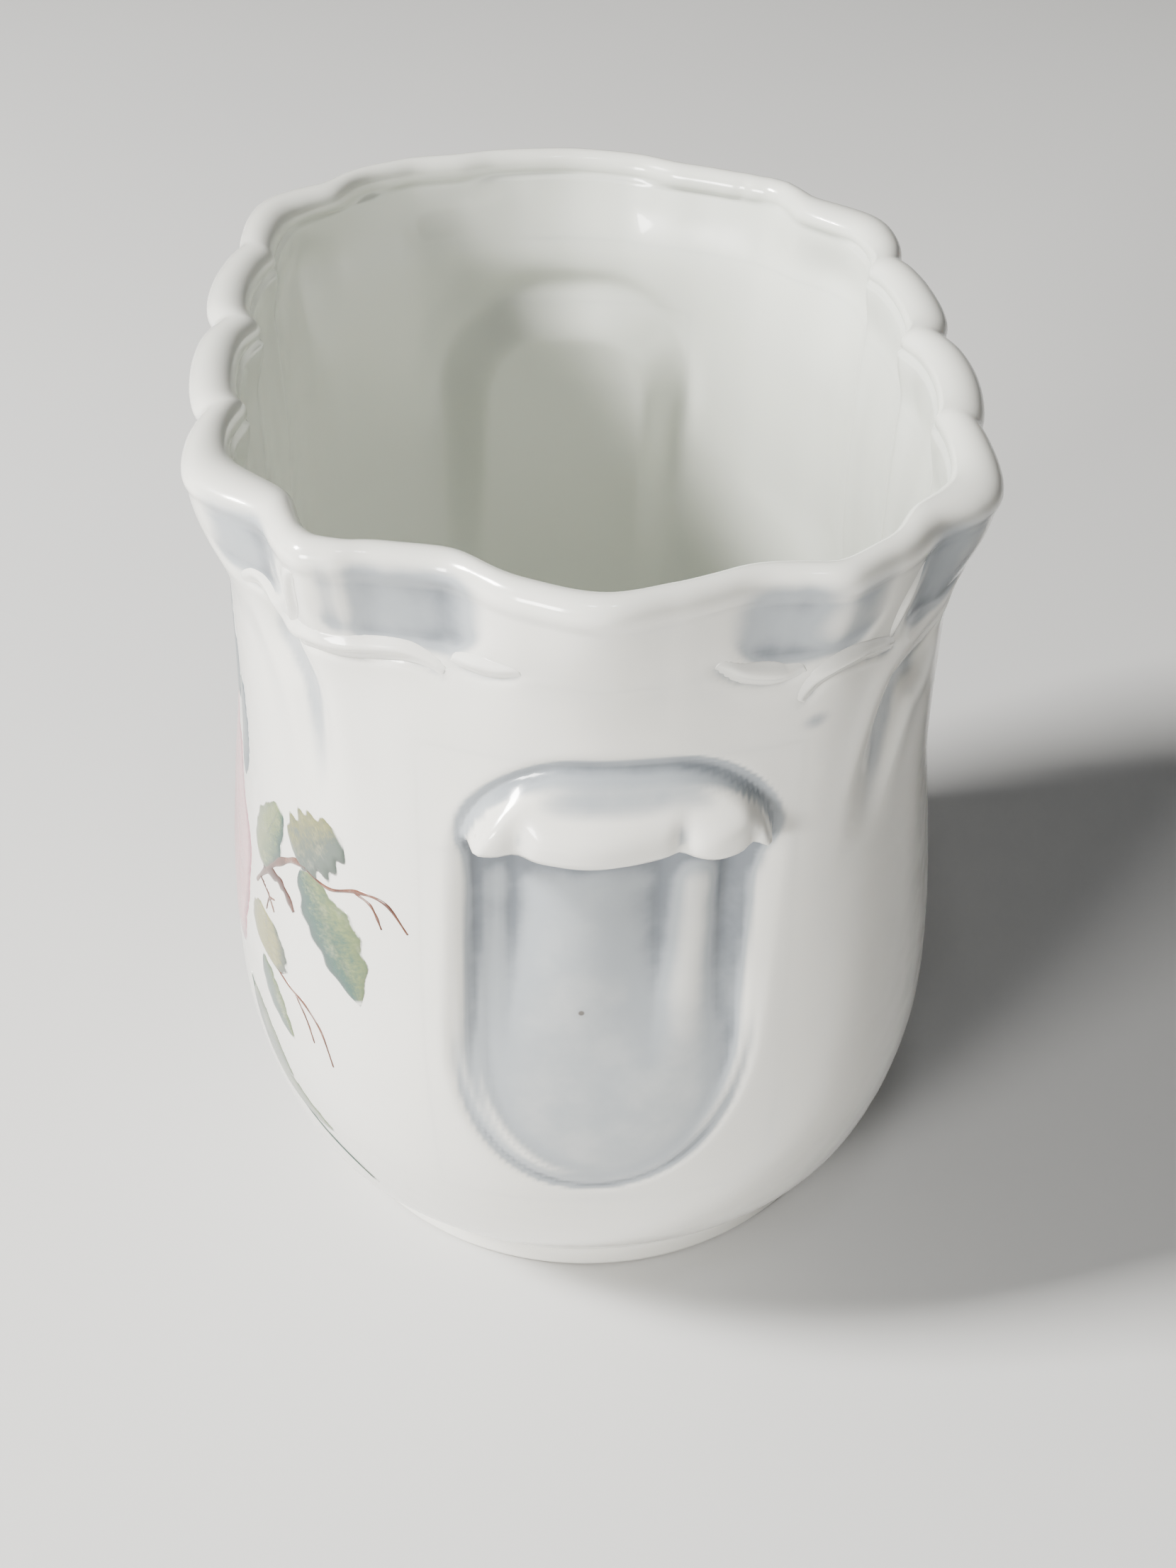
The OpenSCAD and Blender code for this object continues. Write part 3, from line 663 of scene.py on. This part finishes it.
def scroll_piece(name, paths, angle):
    """Soft rolls that rise out of the wall along the moulded lines."""
    out = Patches()
    for path, tall, wide in paths:
        n, m = 64, 11
        line = curve(path, n)
        flat = line * [SCROLL_ARC, 1]
        d = np.gradient(flat, axis=0)
        d /= np.linalg.norm(d, axis=1, keepdims=True)
        side = np.stack([-d[:, 1], d[:, 0]], 1) * (1 if flat[-1, 0] > flat[0, 0] else -1)
        t = np.linspace(0, 1, n)
        fade = np.sin(np.pi * np.clip(t, 0.004, 0.996))**0.7
        s = np.linspace(-1, 1, m)
        across = (0.72 + s[None, :] * wide) * (0.3 + 0.7 * fade[:, None])
        x = flat[:, 0][:, None] + side[:, 0][:, None] * across
        z = flat[:, 1][:, None] + side[:, 1][:, None] * across
        lower = np.clip(1 - ((s + 0.1) / 0.9)**2, 0, 1)**1.3
        upper = np.cos(np.pi / 2 * np.clip((s + 0.1) / 1.1, 0, 1))**1.6
        crest = np.where(s < -0.1, lower, upper)
        lift = tall * fade[:, None] * crest[None, :] - 0.02
        uv = np.stack(np.meshgrid(t, (s + 1) / 2, indexing="ij"), -1)
        out.add(x / SCROLL_ARC + angle, z, lift, 0.25, uv)
    return out.build(name)


left = [(LEFT_SCROLL, 0.58, 1.25), (LEFT_CURL, 0.36, 1.05), (LEFT_RIB, 0.42, 1.1)]
right = [(RIGHT_SCROLL, 0.58, 1.25), (RIGHT_CURL, 0.44, 1.15), (RIGHT_RIB, 0.42, 1.1), (RIGHT_CREASE, 0.4, 1.0)]
pieces["front_left_scroll"] = scroll_piece("front_left_scroll_glazed", left, 0)
pieces["front_right_scroll"] = scroll_piece("front_right_scroll_glazed", right, 0)
pieces["back_left_scroll"] = scroll_piece("back_left_scroll_glazed", right, 180)
pieces["back_right_scroll"] = scroll_piece("back_right_scroll_glazed", left, 180)

# ---------------------------------------------------------------- painted enamel
wobble = np.random.default_rng(7)


def leaf(out, base, length, width, heading, bend=0.0, blunt=0.85, ragged=0.0, tone=0.0, lift=enamel):
    """A leaf from its stalk end: a lens-shaped patch a little larger than its painted colour."""
    n, m = 40, 15
    t = np.linspace(0, 1, n)
    s = np.linspace(-1, 1, m)
    h = math.radians(heading)
    half = 0.04 + width / 2 * np.sin(np.pi * np.clip(t, 0, 1)**0.8)**blunt
    teeth = 1 + ragged * (0.6 * np.sin(t * 31 + wobble.uniform(0, 6)) + 0.4 * np.sin(t * 17 + wobble.uniform(0, 6)))
    half = half * teeth
    ax = length * t * math.cos(h) - bend * np.sin(np.pi * t) * math.sin(h)
    az = length * t * math.sin(h) + bend * np.sin(np.pi * t) * math.cos(h)
    a = ax[:, None] + s[None, :] * (half * math.sin(h))[:, None]
    b = az[:, None] - s[None, :] * (half * math.cos(h))[:, None]
    phi, z = place(base, a, b)
    ends = np.clip(np.sin(np.pi * np.clip(t, 0.01, 0.99)) * 4, 0, 1)
    body = np.clip(1 - np.abs(s[None, :])**4, 0, 1) * ends[:, None]
    uv = np.stack(np.meshgrid(t, (s + 1) / 2, indexing="ij"), -1)
    out.add(phi, z, lift * body - 0.015, 0.08, uv, tone)


def stroke(out, path, width, taper=0.5, tone=0.0, lift=enamel * 0.8):
    """A brush line through [angle, height] points, thinner at its ends."""
    n, m = 12 * len(path), 5
    flat = curve(path, n) * [PAINT_ARC, 1]
    d = np.gradient(flat, axis=0)
    d /= np.linalg.norm(d, axis=1, keepdims=True)
    t = np.linspace(0, 1, n)
    s = np.linspace(-1, 1, m)
    half = width / 2 * (0.25 + 0.75 * np.sin(np.pi * np.clip(t * 0.9 + 0.05, 0, 1))**taper)
    half = half * (1 + 0.22 * np.sin(t * 23 + wobble.uniform(0, 6)))
    x = flat[:, 0][:, None] - d[:, 1][:, None] * s[None, :] * half[:, None]
    z = flat[:, 1][:, None] + d[:, 0][:, None] * s[None, :] * half[:, None]
    uv = np.stack(np.meshgrid(t, (s + 1) / 2, indexing="ij"), -1)
    out.add(x / PAINT_ARC, z, lift * (1 - s[None, :]**2) * np.ones((n, 1)) - 0.01, 0.08, uv, tone)


spray = Patches()
leaf(spray, (-48.7, 55.2), 10.4, 5.0, 60, blunt=0.6, ragged=0.08, tone=0.7)
leaf(spray, (-37.0, 60.0), 13.2, 7.4, -60, bend=0.9, blunt=0.85, ragged=0.12, tone=0.2)
leaf(spray, (-49.8, 43.6), 8.6, 4.2, -52, bend=-0.4, ragged=0.08, tone=0.0)
pieces["spray_leaves"] = spray.build("spray_leaves_enamel")

buds = Patches()
leaf(buds, (-39.0, 60.9), 8.8, 6.0, 38, blunt=0.45, ragged=0.22, tone=0.0)
leaf(buds, (-48.0, 44.2), 5.8, 8.6, 84, blunt=0.42, ragged=0.03, tone=0.9)
pieces["rose_buds"] = buds.build("rose_buds_enamel")

twigs = Patches()
stroke(twigs, [(-50.5, 51.8), (-46.5, 55.0), (-42.6, 57.8), (-38.8, 59.8), (-36.2, 60.3)], 0.8)
stroke(twigs, [(-47.1, 54.9), (-43.6, 55.8), (-41.2, 55.4), (-39.3, 54.0)], 1.3, 0.3, 0.5)
stroke(twigs, [(-48.8, 53.2), (-46.2, 52.6), (-44.6, 51.2)], 0.5, 0.5, 0.3)
stroke(twigs, [(-36.0, 60.2), (-32.0, 60.1), (-27.7, 61.5), (-24.0, 61.4), (-21.4, 59.0)], 0.42)
stroke(twigs, [(-28.4, 61.4), (-25.9, 60.7), (-24.6, 58.6)], 0.34)
stroke(twigs, [(-45.4, 44.6), (-42.0, 44.0), (-38.4, 43.6), (-35.6, 41.8), (-34.2, 38.0)], 0.42)
stroke(twigs, [(-40.4, 43.8), (-38.4, 41.8), (-37.4, 39.4)], 0.34)
stroke(twigs, [(-47.2, 50.2), (-46.0, 52.0), (-44.2, 52.8)], 0.32)
pieces["rose_twigs"] = twigs.build("rose_twigs_enamel")

stem = Patches()
leaf(stem, (-57.4, 35.6), 10.5, 5.6, -38, bend=-0.6, blunt=0.8, ragged=0.05, tone=0.1)
leaf(stem, (-55.0, 31.6), 13.5, 4.2, -27, bend=-1.0, blunt=0.8, ragged=0.04, tone=0.4)
stroke(stem, [(-58, 36.4), (-55, 33.2), (-51.6, 30.0), (-46.2, 26.6), (-41.0, 23.8), (-36.6, 21.4), (-33.6, 18.8)],
       0.75, 0.6, 0.4, enamel)
pieces["long_stem_leaf"] = stem.build("long_stem_leaf_enamel")

rose_leaves = Patches()
for base, length, width, heading, bend, tone in (
        ((-57.5, 60.2), 12.5, 6.2, 76, 0.8, 0.0), ((-64, 65.0), 11.5, 6.4, 118, -0.8, 0.1),
        ((-97, 66.0), 14.0, 7.0, 140, 1.0, 0.2), ((-103.5, 46.0), 15.0, 7.4, 196, 1.2, 0.1),
        ((-92, 34.0), 14.0, 6.6, 236, -1.0, 0.3), ((-76, 33.0), 13.0, 6.0, 276, 0.8, 0.5)):
    leaf(rose_leaves, base, length, width, heading, bend=bend, ragged=0.05, tone=tone)
pieces["rose_leaves"] = rose_leaves.build("rose_leaves_enamel")

ROSE = (-78.0, 50.0)


def petal(out, r0, r1, a0, a1, tone, lift, curl=0.0):
    n, m = 26, 15
    v = np.linspace(0, 1, n)
    uu = np.linspace(0, 1, m)
    a = np.radians(a0 + (a1 - a0) * v)
    rim = r1 * (0.80 + 0.20 * np.sin(np.pi * v)**0.6) * (1 + 0.035 * np.sin(v * 14 + wobble.uniform(0, 6)))
    r = r0 + (rim[:, None] - r0) * uu[None, :]
    twist = curl * uu[None, :]**2
    x, y = r * np.cos(a[:, None] + twist), r * np.sin(a[:, None] + twist)
    phi, z = place(ROSE, x, y)
    edge = np.clip(np.sin(np.pi * np.clip(v, 0.01, 0.99)) * 5, 0, 1)[:, None] * np.clip((1 - uu) * 6, 0, 1)[None, :]
    uv = np.stack(np.meshgrid(v, uu, indexing="ij"), -1)
    out.add(phi, z, lift * edge - 0.012, 0.08, uv, tone)


petals = Patches()
for k, (mid, half, reach, tone) in enumerate((
        (20, 42, 16.2, 0.1), (78, 38, 15.2, 0.3), (140, 42, 15.8, 0.0), (200, 38, 15.0, 0.35),
        (258, 42, 16.0, 0.15), (318, 40, 15.4, 0.4))):
    petal(petals, 3.5, reach, mid - half, mid + half, tone, enamel * (0.55 + 0.05 * (k % 2)))
for k, (mid, half, reach, tone) in enumerate((
        (50, 48, 11.2, 0.45), (122, 46, 10.6, 0.3), (196, 48, 11.0, 0.5),
        (268, 46, 10.4, 0.35), (338, 46, 10.8, 0.55))):
    petal(petals, 2.2, reach, mid - half, mid + half, tone, enamel * (0.75 + 0.05 * (k % 2)), 0.12)
pieces["rose_petals"] = petals.build("rose_petals_enamel")
heart = Patches()
for k, (mid, half, reach, tone) in enumerate((
        (10, 70, 6.6, 0.5), (130, 70, 6.2, 0.7), (250, 70, 6.4, 0.6), (60, 80, 3.6, 0.85), (240, 90, 3.2, 1.0))):
    petal(heart, 0.15, reach, mid - half, mid + half, tone, enamel * (0.9 + 0.04 * (k % 3)), 0.25)
pieces["rose_heart"] = heart.build("rose_heart_enamel")


# ---------------------------------------------------------------- materials
class Nodes:
    """Short names for building a material."""

    def __init__(self, name):
        self.mat = bpy.data.materials.new(name)
        self.mat.use_nodes = True
        self.tree = self.mat.node_tree
        self.tree.nodes.clear()
        self.out = self.tree.nodes.new("ShaderNodeOutputMaterial")
        self.shader = self.tree.nodes.new("ShaderNodeBsdfPrincipled")
        self.tree.links.new(self.shader.outputs[0], self.out.inputs["Surface"])

    def put(self, socket, value):
        if isinstance(value, bpy.types.NodeSocket):
            self.tree.links.new(value, socket)
        elif value is not None:
            socket.default_value = value

    def new(self, kind, **props):
        node = self.tree.nodes.new(kind)
        for key, value in props.items():
            setattr(node, key, value)
        return node

    def math(self, op, a, b=None):
        node = self.new("ShaderNodeMath", operation=op)
        for k, v in enumerate((a, b)):
            if v is not None:
                self.put(node.inputs[k], v)
        return node.outputs[0]

    def mix(self, share, a, b):
        node = self.new("ShaderNodeMix", data_type="RGBA")
        self.put(node.inputs["Factor"], share)
        self.put(node.inputs["A"], a if isinstance(a, bpy.types.NodeSocket) else (*a, 1))
        self.put(node.inputs["B"], b if isinstance(b, bpy.types.NodeSocket) else (*b, 1))
        return node.outputs["Result"]

    def range(self, value, lo, hi, to_lo=0.0, to_hi=1.0):
        node = self.new("ShaderNodeMapRange", interpolation_type="SMOOTHSTEP")
        for k, v in enumerate((value, lo, hi, to_lo, to_hi)):
            self.put(node.inputs[k], v)
        return node.outputs[0]

    def attribute(self, name):
        return self.new("ShaderNodeAttribute", attribute_name=name).outputs["Fac"]

    def noise(self, vector, scale, detail=2.0, rough=0.5):
        node = self.new("ShaderNodeTexNoise")
        self.put(node.inputs["Vector"], vector)
        node.inputs["Scale"].default_value = scale
        node.inputs["Detail"].default_value = detail
        node.inputs["Roughness"].default_value = rough
        return node.outputs["Fac"]

    def object_place(self):
        return self.new("ShaderNodeTexCoord").outputs["Object"]

    def uv(self):
        split = self.new("ShaderNodeSeparateXYZ")
        source = self.new("ShaderNodeTexCoord").outputs["UV"]
        self.put(split.inputs[0], source)
        return source, split.outputs[0], split.outputs[1]

    def stretch(self, vector, scale):
        node = self.new("ShaderNodeMapping")
        self.put(node.inputs["Vector"], vector)
        node.inputs["Scale"].default_value = scale
        return node.outputs[0]


WHITE = (0.845, 0.83, 0.77)
# Painted shade colours: bluish grey and deep grey for pooled glaze and shade in hollows, and a darker greenish white
# for the shade inside the mug
POOL_SHADE = (0.36, 0.39, 0.415)
DEEP_SHADE = (0.15, 0.17, 0.195)
INSIDE_SHADE = (0.735, 0.755, 0.695)


def porcelain_colour(n, where):
    """White clay under clear glaze: creamy; bluish to deep grey where glaze pooled and as painted shade in hollows,
    creases and round the grips; a darker greenish painted shade inside the mug.
    """
    cloud = n.noise(where, 45, 3)
    base = n.mix(n.range(cloud, 0.35, 0.7), WHITE, (0.82, 0.81, 0.755))
    # painted shade inside the mug
    base = n.mix(n.attribute("within"), base, INSIDE_SHADE)
    # painted shade and pooled glaze: bluish grey, then deep grey where it is strongest
    pool_and_shade_amount = n.math("MULTIPLY", n.attribute("pool_and_shade"), n.range(n.noise(where, 260, 4), 0.2, 0.8, 0.82, 1.08))
    base = n.mix(n.range(pool_and_shade_amount, 0.0, 0.75), base, POOL_SHADE)
    return n.mix(n.range(pool_and_shade_amount, 0.75, 1.5), base, DEEP_SHADE)


def glaze(n, bump_strength=0.06):
    """Glossy glaze over the colour, with its faint waviness."""
    s = n.shader.inputs
    s["IOR"].default_value = 1.5
    s["Coat Weight"].default_value = 0.55
    s["Coat Roughness"].default_value = 0.035
    s["Coat IOR"].default_value = 1.5
    s["Subsurface Weight"].default_value = 0.12
    s["Subsurface Radius"].default_value = (1.0, 0.85, 0.7)
    s["Subsurface Scale"].default_value = 0.0016
    where = n.object_place()
    n.put(s["Roughness"], n.range(n.noise(where, 320, 3), 0.25, 0.75, 0.16, 0.26))
    wave = n.new("ShaderNodeBump")
    wave.inputs["Strength"].default_value = bump_strength
    wave.inputs["Distance"].default_value = 0.0006
    height = n.math("ADD", n.noise(where, 130, 2), n.math("MULTIPLY", n.noise(where, 900, 2), 0.06))
    n.put(wave.inputs["Height"], height)
    n.put(s["Normal"], wave.outputs[0])
    n.put(s["Coat Normal"], wave.outputs[0])


def distance_from(n, where, point):
    node = n.new("ShaderNodeVectorMath", operation="DISTANCE")
    n.put(node.inputs[0], where)
    node.inputs[1].default_value = point
    return node.outputs["Value"]


def porcelain(name, mark=None, worn=False):
    n = Nodes(name)
    where = n.object_place()
    colour = porcelain_colour(n, where)
    specks = n.new("ShaderNodeTexVoronoi")
    n.put(specks.inputs["Vector"], where)
    specks.inputs["Scale"].default_value = 95
    here = n.range(n.noise(where, 70, 0), 0.62, 0.66)  # only in some places
    speck = n.math("MULTIPLY", n.range(specks.outputs["Distance"], 0.028, 0.014), here)
    colour = n.mix(n.math("MULTIPLY", speck, 0.55), colour, (0.23, 0.19, 0.15))
    if mark is not None:
        # Kiln pinhole, not modelled as a hole: its painted shade is a grey ring and a dark dot.
        away = distance_from(n, where, mark)
        colour = n.mix(n.range(away, 0.0011, 0.0003, 0.0, 0.35), colour, (0.33, 0.35, 0.37))
        colour = n.mix(n.range(away, 0.00034, 0.00018, 0.0, 0.9), colour, (0.10, 0.085, 0.07))
    if worn:
        bare = n.math("MULTIPLY", n.attribute("worn"), n.range(n.noise(where, 500, 3), 0.3, 0.6, 0.6, 1.0))
        colour = n.mix(bare, colour, (0.70, 0.66, 0.58))
    n.put(n.shader.inputs["Base Color"], colour)
    glaze(n)
    return n.mat


def painted(name, style, low, high, vein=None, edge=None):
    """Hand-painted enamel: washes of two colours, darker along one edge, thin where the brush lifted."""
    n = Nodes(name)
    where = n.object_place()
    source, along_, across = n.uv()
    tone = n.attribute("tone")

    def spread(value, amount):
        return n.math("MULTIPLY", n.math("SUBTRACT", value, 0.5), amount)

    def total(*values):
        out = values[0]
        for value in values[1:]:
            out = n.math("ADD", out, value)
        return out

    def product(*values):
        out = values[0]
        for value in values[1:]:
            out = n.math("MULTIPLY", out, value)
        return out

    bristles = (3.0, 14.0, 1.0) if style == "petal" else (14.0, 3.0, 1.0)
    grain = n.noise(n.stretch(source, bristles), 3.0, 4, 0.6)
    cloud = n.noise(where, 420, 4, 0.6)
    wash = total(spread(grain, 0.8), spread(cloud, 0.9))
    if style == "leaf":
        lit_side = n.math("SUBTRACT", 1.0, across)
        share = total(product(lit_side, 0.75), product(tone, 0.55), wash)
        colour = n.mix(n.range(share, 0.25, 0.85), low, high)
        middle_line = n.math("ABSOLUTE", n.math("SUBTRACT", across, 0.5))
        ribs = n.new("ShaderNodeTexWave", wave_type="BANDS", bands_direction="X")
        slant = n.new("ShaderNodeCombineXYZ")
        n.put(slant.inputs[0], n.math("SUBTRACT", along_, product(middle_line, 0.55)))
        n.put(ribs.inputs["Vector"], slant.outputs[0])
        ribs.inputs["Scale"].default_value = 2.1
        ribs.inputs["Distortion"].default_value = 1.2
        lines = product(n.range(ribs.outputs["Fac"], 0.8, 1.0), 0.22)
        lines = n.math("MAXIMUM", lines, n.range(middle_line, 0.06, 0.01, 0.0, 0.4))
        colour = n.mix(product(lines, n.range(cloud, 0.35, 0.6)), colour, vein)
        rim = total(n.math("SUBTRACT", 1.0, product(middle_line, 2.0)), spread(n.noise(where, 1100, 3), 0.22))
        shaded_side = n.range(lit_side, 0.9, 0.1, 0.35, 1.0)
        colour = n.mix(product(n.range(rim, 0.5, 0.12, 0.0, 0.9), shaded_side), colour, edge)
        thin = n.range(total(wash, cloud), 0.5, 1.1, 1.0, 0.9)
        cover = product(n.range(rim, 0.03, 0.12), n.range(along_, 0.985, 0.94), n.range(along_, 0.0, 0.03), thin)
    elif style == "petal":
        share = total(product(across, -0.95), product(tone, 0.55), wash, 0.8)
        colour = n.mix(n.range(share, 0.1, 1.05), low, high)
        side = n.math("ABSOLUTE", n.math("SUBTRACT", along_, 0.5))
        fringe = total(across, spread(n.noise(where, 900, 3), 0.1))
        line = product(n.range(fringe, 0.84, 0.93, 0.0, 0.8), n.range(fringe, 0.985, 0.94))
        line = n.math("MAXIMUM", line, n.range(side, 0.38, 0.475, 0.0, 0.85))
        colour = n.mix(line, colour, vein)
        thin = n.range(total(wash, cloud), 0.85, 1.3, 1.0, 0.8)
        cover = product(n.range(fringe, 0.995, 0.955), n.range(side, 0.498, 0.475), thin)
    else:
        share = total(product(tone, 0.6), cloud, wash)
        colour = n.mix(n.range(share, 0.2, 0.9), low, high)
        rim = n.math("ABSOLUTE", n.math("SUBTRACT", across, 0.5))
        cover = product(n.range(rim, 0.5, 0.4), n.range(cloud, 0.2, 0.45, 0.8, 1.0))
    base = porcelain_colour(n, where)
    n.put(n.shader.inputs["Base Color"], n.mix(cover, base, colour))
    glaze(n, 0.05)
    return n.mat


pinhole_place = wall_point(outer(-2.7, 51.6), -2.7, 51.6) * MM
looks = {
    "porcelain_body": porcelain("porcelain_body_glaze"),
    "porcelain_foot": porcelain("porcelain_foot_glaze", worn=True),
    "porcelain_lip": porcelain("porcelain_lip_glaze"),
    "porcelain_rim": porcelain("porcelain_rim_glaze"),
    "porcelain_grip": porcelain("porcelain_grip_glaze", mark=tuple(float(v) for v in pinhole_place)),
    "porcelain_scroll": porcelain("porcelain_scroll_glaze"),
}
# Style, two washes, veins and the dark edge of each enamel
ENAMELS = {
    "enamel_rose": ("petal", (0.70, 0.36, 0.38), (0.42, 0.09, 0.14), (0.26, 0.04, 0.09)),
    "enamel_rose_heart": ("petal", (0.50, 0.14, 0.17), (0.22, 0.025, 0.05), (0.12, 0.015, 0.035)),
    "enamel_dark_leaf": ("leaf", (0.028, 0.075, 0.10), (0.16, 0.24, 0.14), (0.02, 0.035, 0.05), (0.03, 0.06, 0.09)),
    "enamel_green_leaf": ("leaf", (0.02, 0.075, 0.055), (0.15, 0.19, 0.06),
                          (0.016, 0.05, 0.038), (0.010, 0.045, 0.038)),
    "enamel_bud": ("leaf", (0.075, 0.10, 0.08), (0.22, 0.21, 0.05), (0.05, 0.07, 0.05), (0.04, 0.06, 0.045)),
    "enamel_twig": ("line", (0.16, 0.06, 0.035), (0.055, 0.014, 0.008)),
    "enamel_stem": ("leaf", (0.022, 0.06, 0.05), (0.14, 0.18, 0.09), (0.02, 0.04, 0.033), (0.014, 0.038, 0.032)),
}
looks.update({slot: painted(slot + "_wash", *recipe) for slot, recipe in ENAMELS.items()})
slots = {"mug_body": "porcelain_body", "foot_ring": "porcelain_foot",
         "fluted_lip": "porcelain_lip", "rim_bead": "porcelain_rim"}
slots.update({name: "porcelain_grip" for name in pieces if "_grip_" in name})
slots.update({name: "porcelain_scroll" for name in pieces if name.endswith("_scroll")})
slots.update({"rose_petals": "enamel_rose", "rose_heart": "enamel_rose_heart", "rose_leaves": "enamel_dark_leaf",
              "spray_leaves": "enamel_green_leaf", "rose_buds": "enamel_bud", "rose_twigs": "enamel_twig",
              "long_stem_leaf": "enamel_stem"})
for node, piece in pieces.items():
    piece.data.materials.append(looks[slots[node]])
    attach(piece, "root")
    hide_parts(node)

# ---------------------------------------------------------------- floor, light and camera
def stage_floor():
    """Pale paper sweep: flat round the mug, rising far behind. Rings of radius and height in metres."""
    n = 96
    under = -0.02  # millimetres below the foot, so the two never share a plane
    rings = [(0.02, 0.0), (0.3, 0.0), (0.8, 0.0), (1.6, 0.0), (2.2, 0.02),
             (2.6, 0.12), (2.9, 0.35), (3.1, 0.8), (3.2, 1.6)]
    turns = [2 * math.pi * i / n for i in range(n)]
    pts, faces = [(0, 0, under)], []
    for q, z in rings:
        pts += [(q * math.cos(t) / MM, q * math.sin(t) / MM, z / MM + under) for t in turns]
    for i in range(n):
        faces.append((0, 1 + i, 1 + (i + 1) % n))
    for j in range(len(rings) - 1):
        for i in range(n):
            a, b = 1 + j * n + i, 1 + j * n + (i + 1) % n
            faces.append((a, a + n, b + n, b))
    obj = make_mesh("studio_floor", np.array(pts, float), faces)
    paper = Nodes("studio_floor_paper")
    cloud = paper.range(paper.noise(paper.object_place(), 3, 4), 0.3, 0.7)
    paper.put(paper.shader.inputs["Base Color"], paper.mix(cloud, (0.60, 0.60, 0.595), (0.63, 0.63, 0.62)))
    paper.shader.inputs["Roughness"].default_value = 0.7
    obj.data.materials.append(paper.mat)


stage_floor()


MUG_MIDDLE = Vector((0, 0, 0.05))


def area_light(name, position, size, power, colour):
    """Square softbox that looks at the middle of the mug."""
    data = bpy.data.lights.new(name, "AREA")
    data.energy = power
    data.color = colour
    data.size = size
    obj = bpy.data.objects.new(name, data)
    bpy.context.scene.collection.objects.link(obj)
    obj.location = position
    obj.rotation_euler = (MUG_MIDDLE - Vector(position)).to_track_quat("-Z", "Y").to_euler()


area_light("key_softbox", (-0.80, -0.14, 0.78), 0.22, 34.0, (1.0, 0.985, 0.95))
area_light("front_softbox", (-0.75, -0.85, 0.38), 0.3, 17.0, (1.0, 0.985, 0.96))
area_light("left_window", (-0.1, -0.5, 1.05), 0.12, 1.0, (0.97, 0.985, 1.0))
area_light("right_window", (0.24, -0.42, 1.05), 0.08, 0.6, (0.97, 0.985, 1.0))
world = bpy.data.worlds.new("studio_air")
bpy.context.scene.world = world
world.use_nodes = True
world.node_tree.nodes["Background"].inputs["Color"].default_value = (0.93, 0.95, 1.0, 1)
world.node_tree.nodes["Background"].inputs["Strength"].default_value = 0.055

LENS, SENSOR = 43.94, 36
CAMERA_PLACE = (-0.0092, -0.16308, 0.16578)
CAMERA_PITCH, CAMERA_YAW = 37.04, -3.32  # degrees down, and to the right
camera_data = bpy.data.cameras.new("camera")
camera_data.sensor_width = SENSOR
camera_data.lens = LENS
camera_data.clip_start = 0.01
camera = bpy.data.objects.new("camera", camera_data)
bpy.context.scene.collection.objects.link(camera)
camera.location = CAMERA_PLACE
camera.rotation_euler = Euler((math.radians(90 - CAMERA_PITCH), 0, math.radians(CAMERA_YAW)))
bpy.context.scene.camera = camera
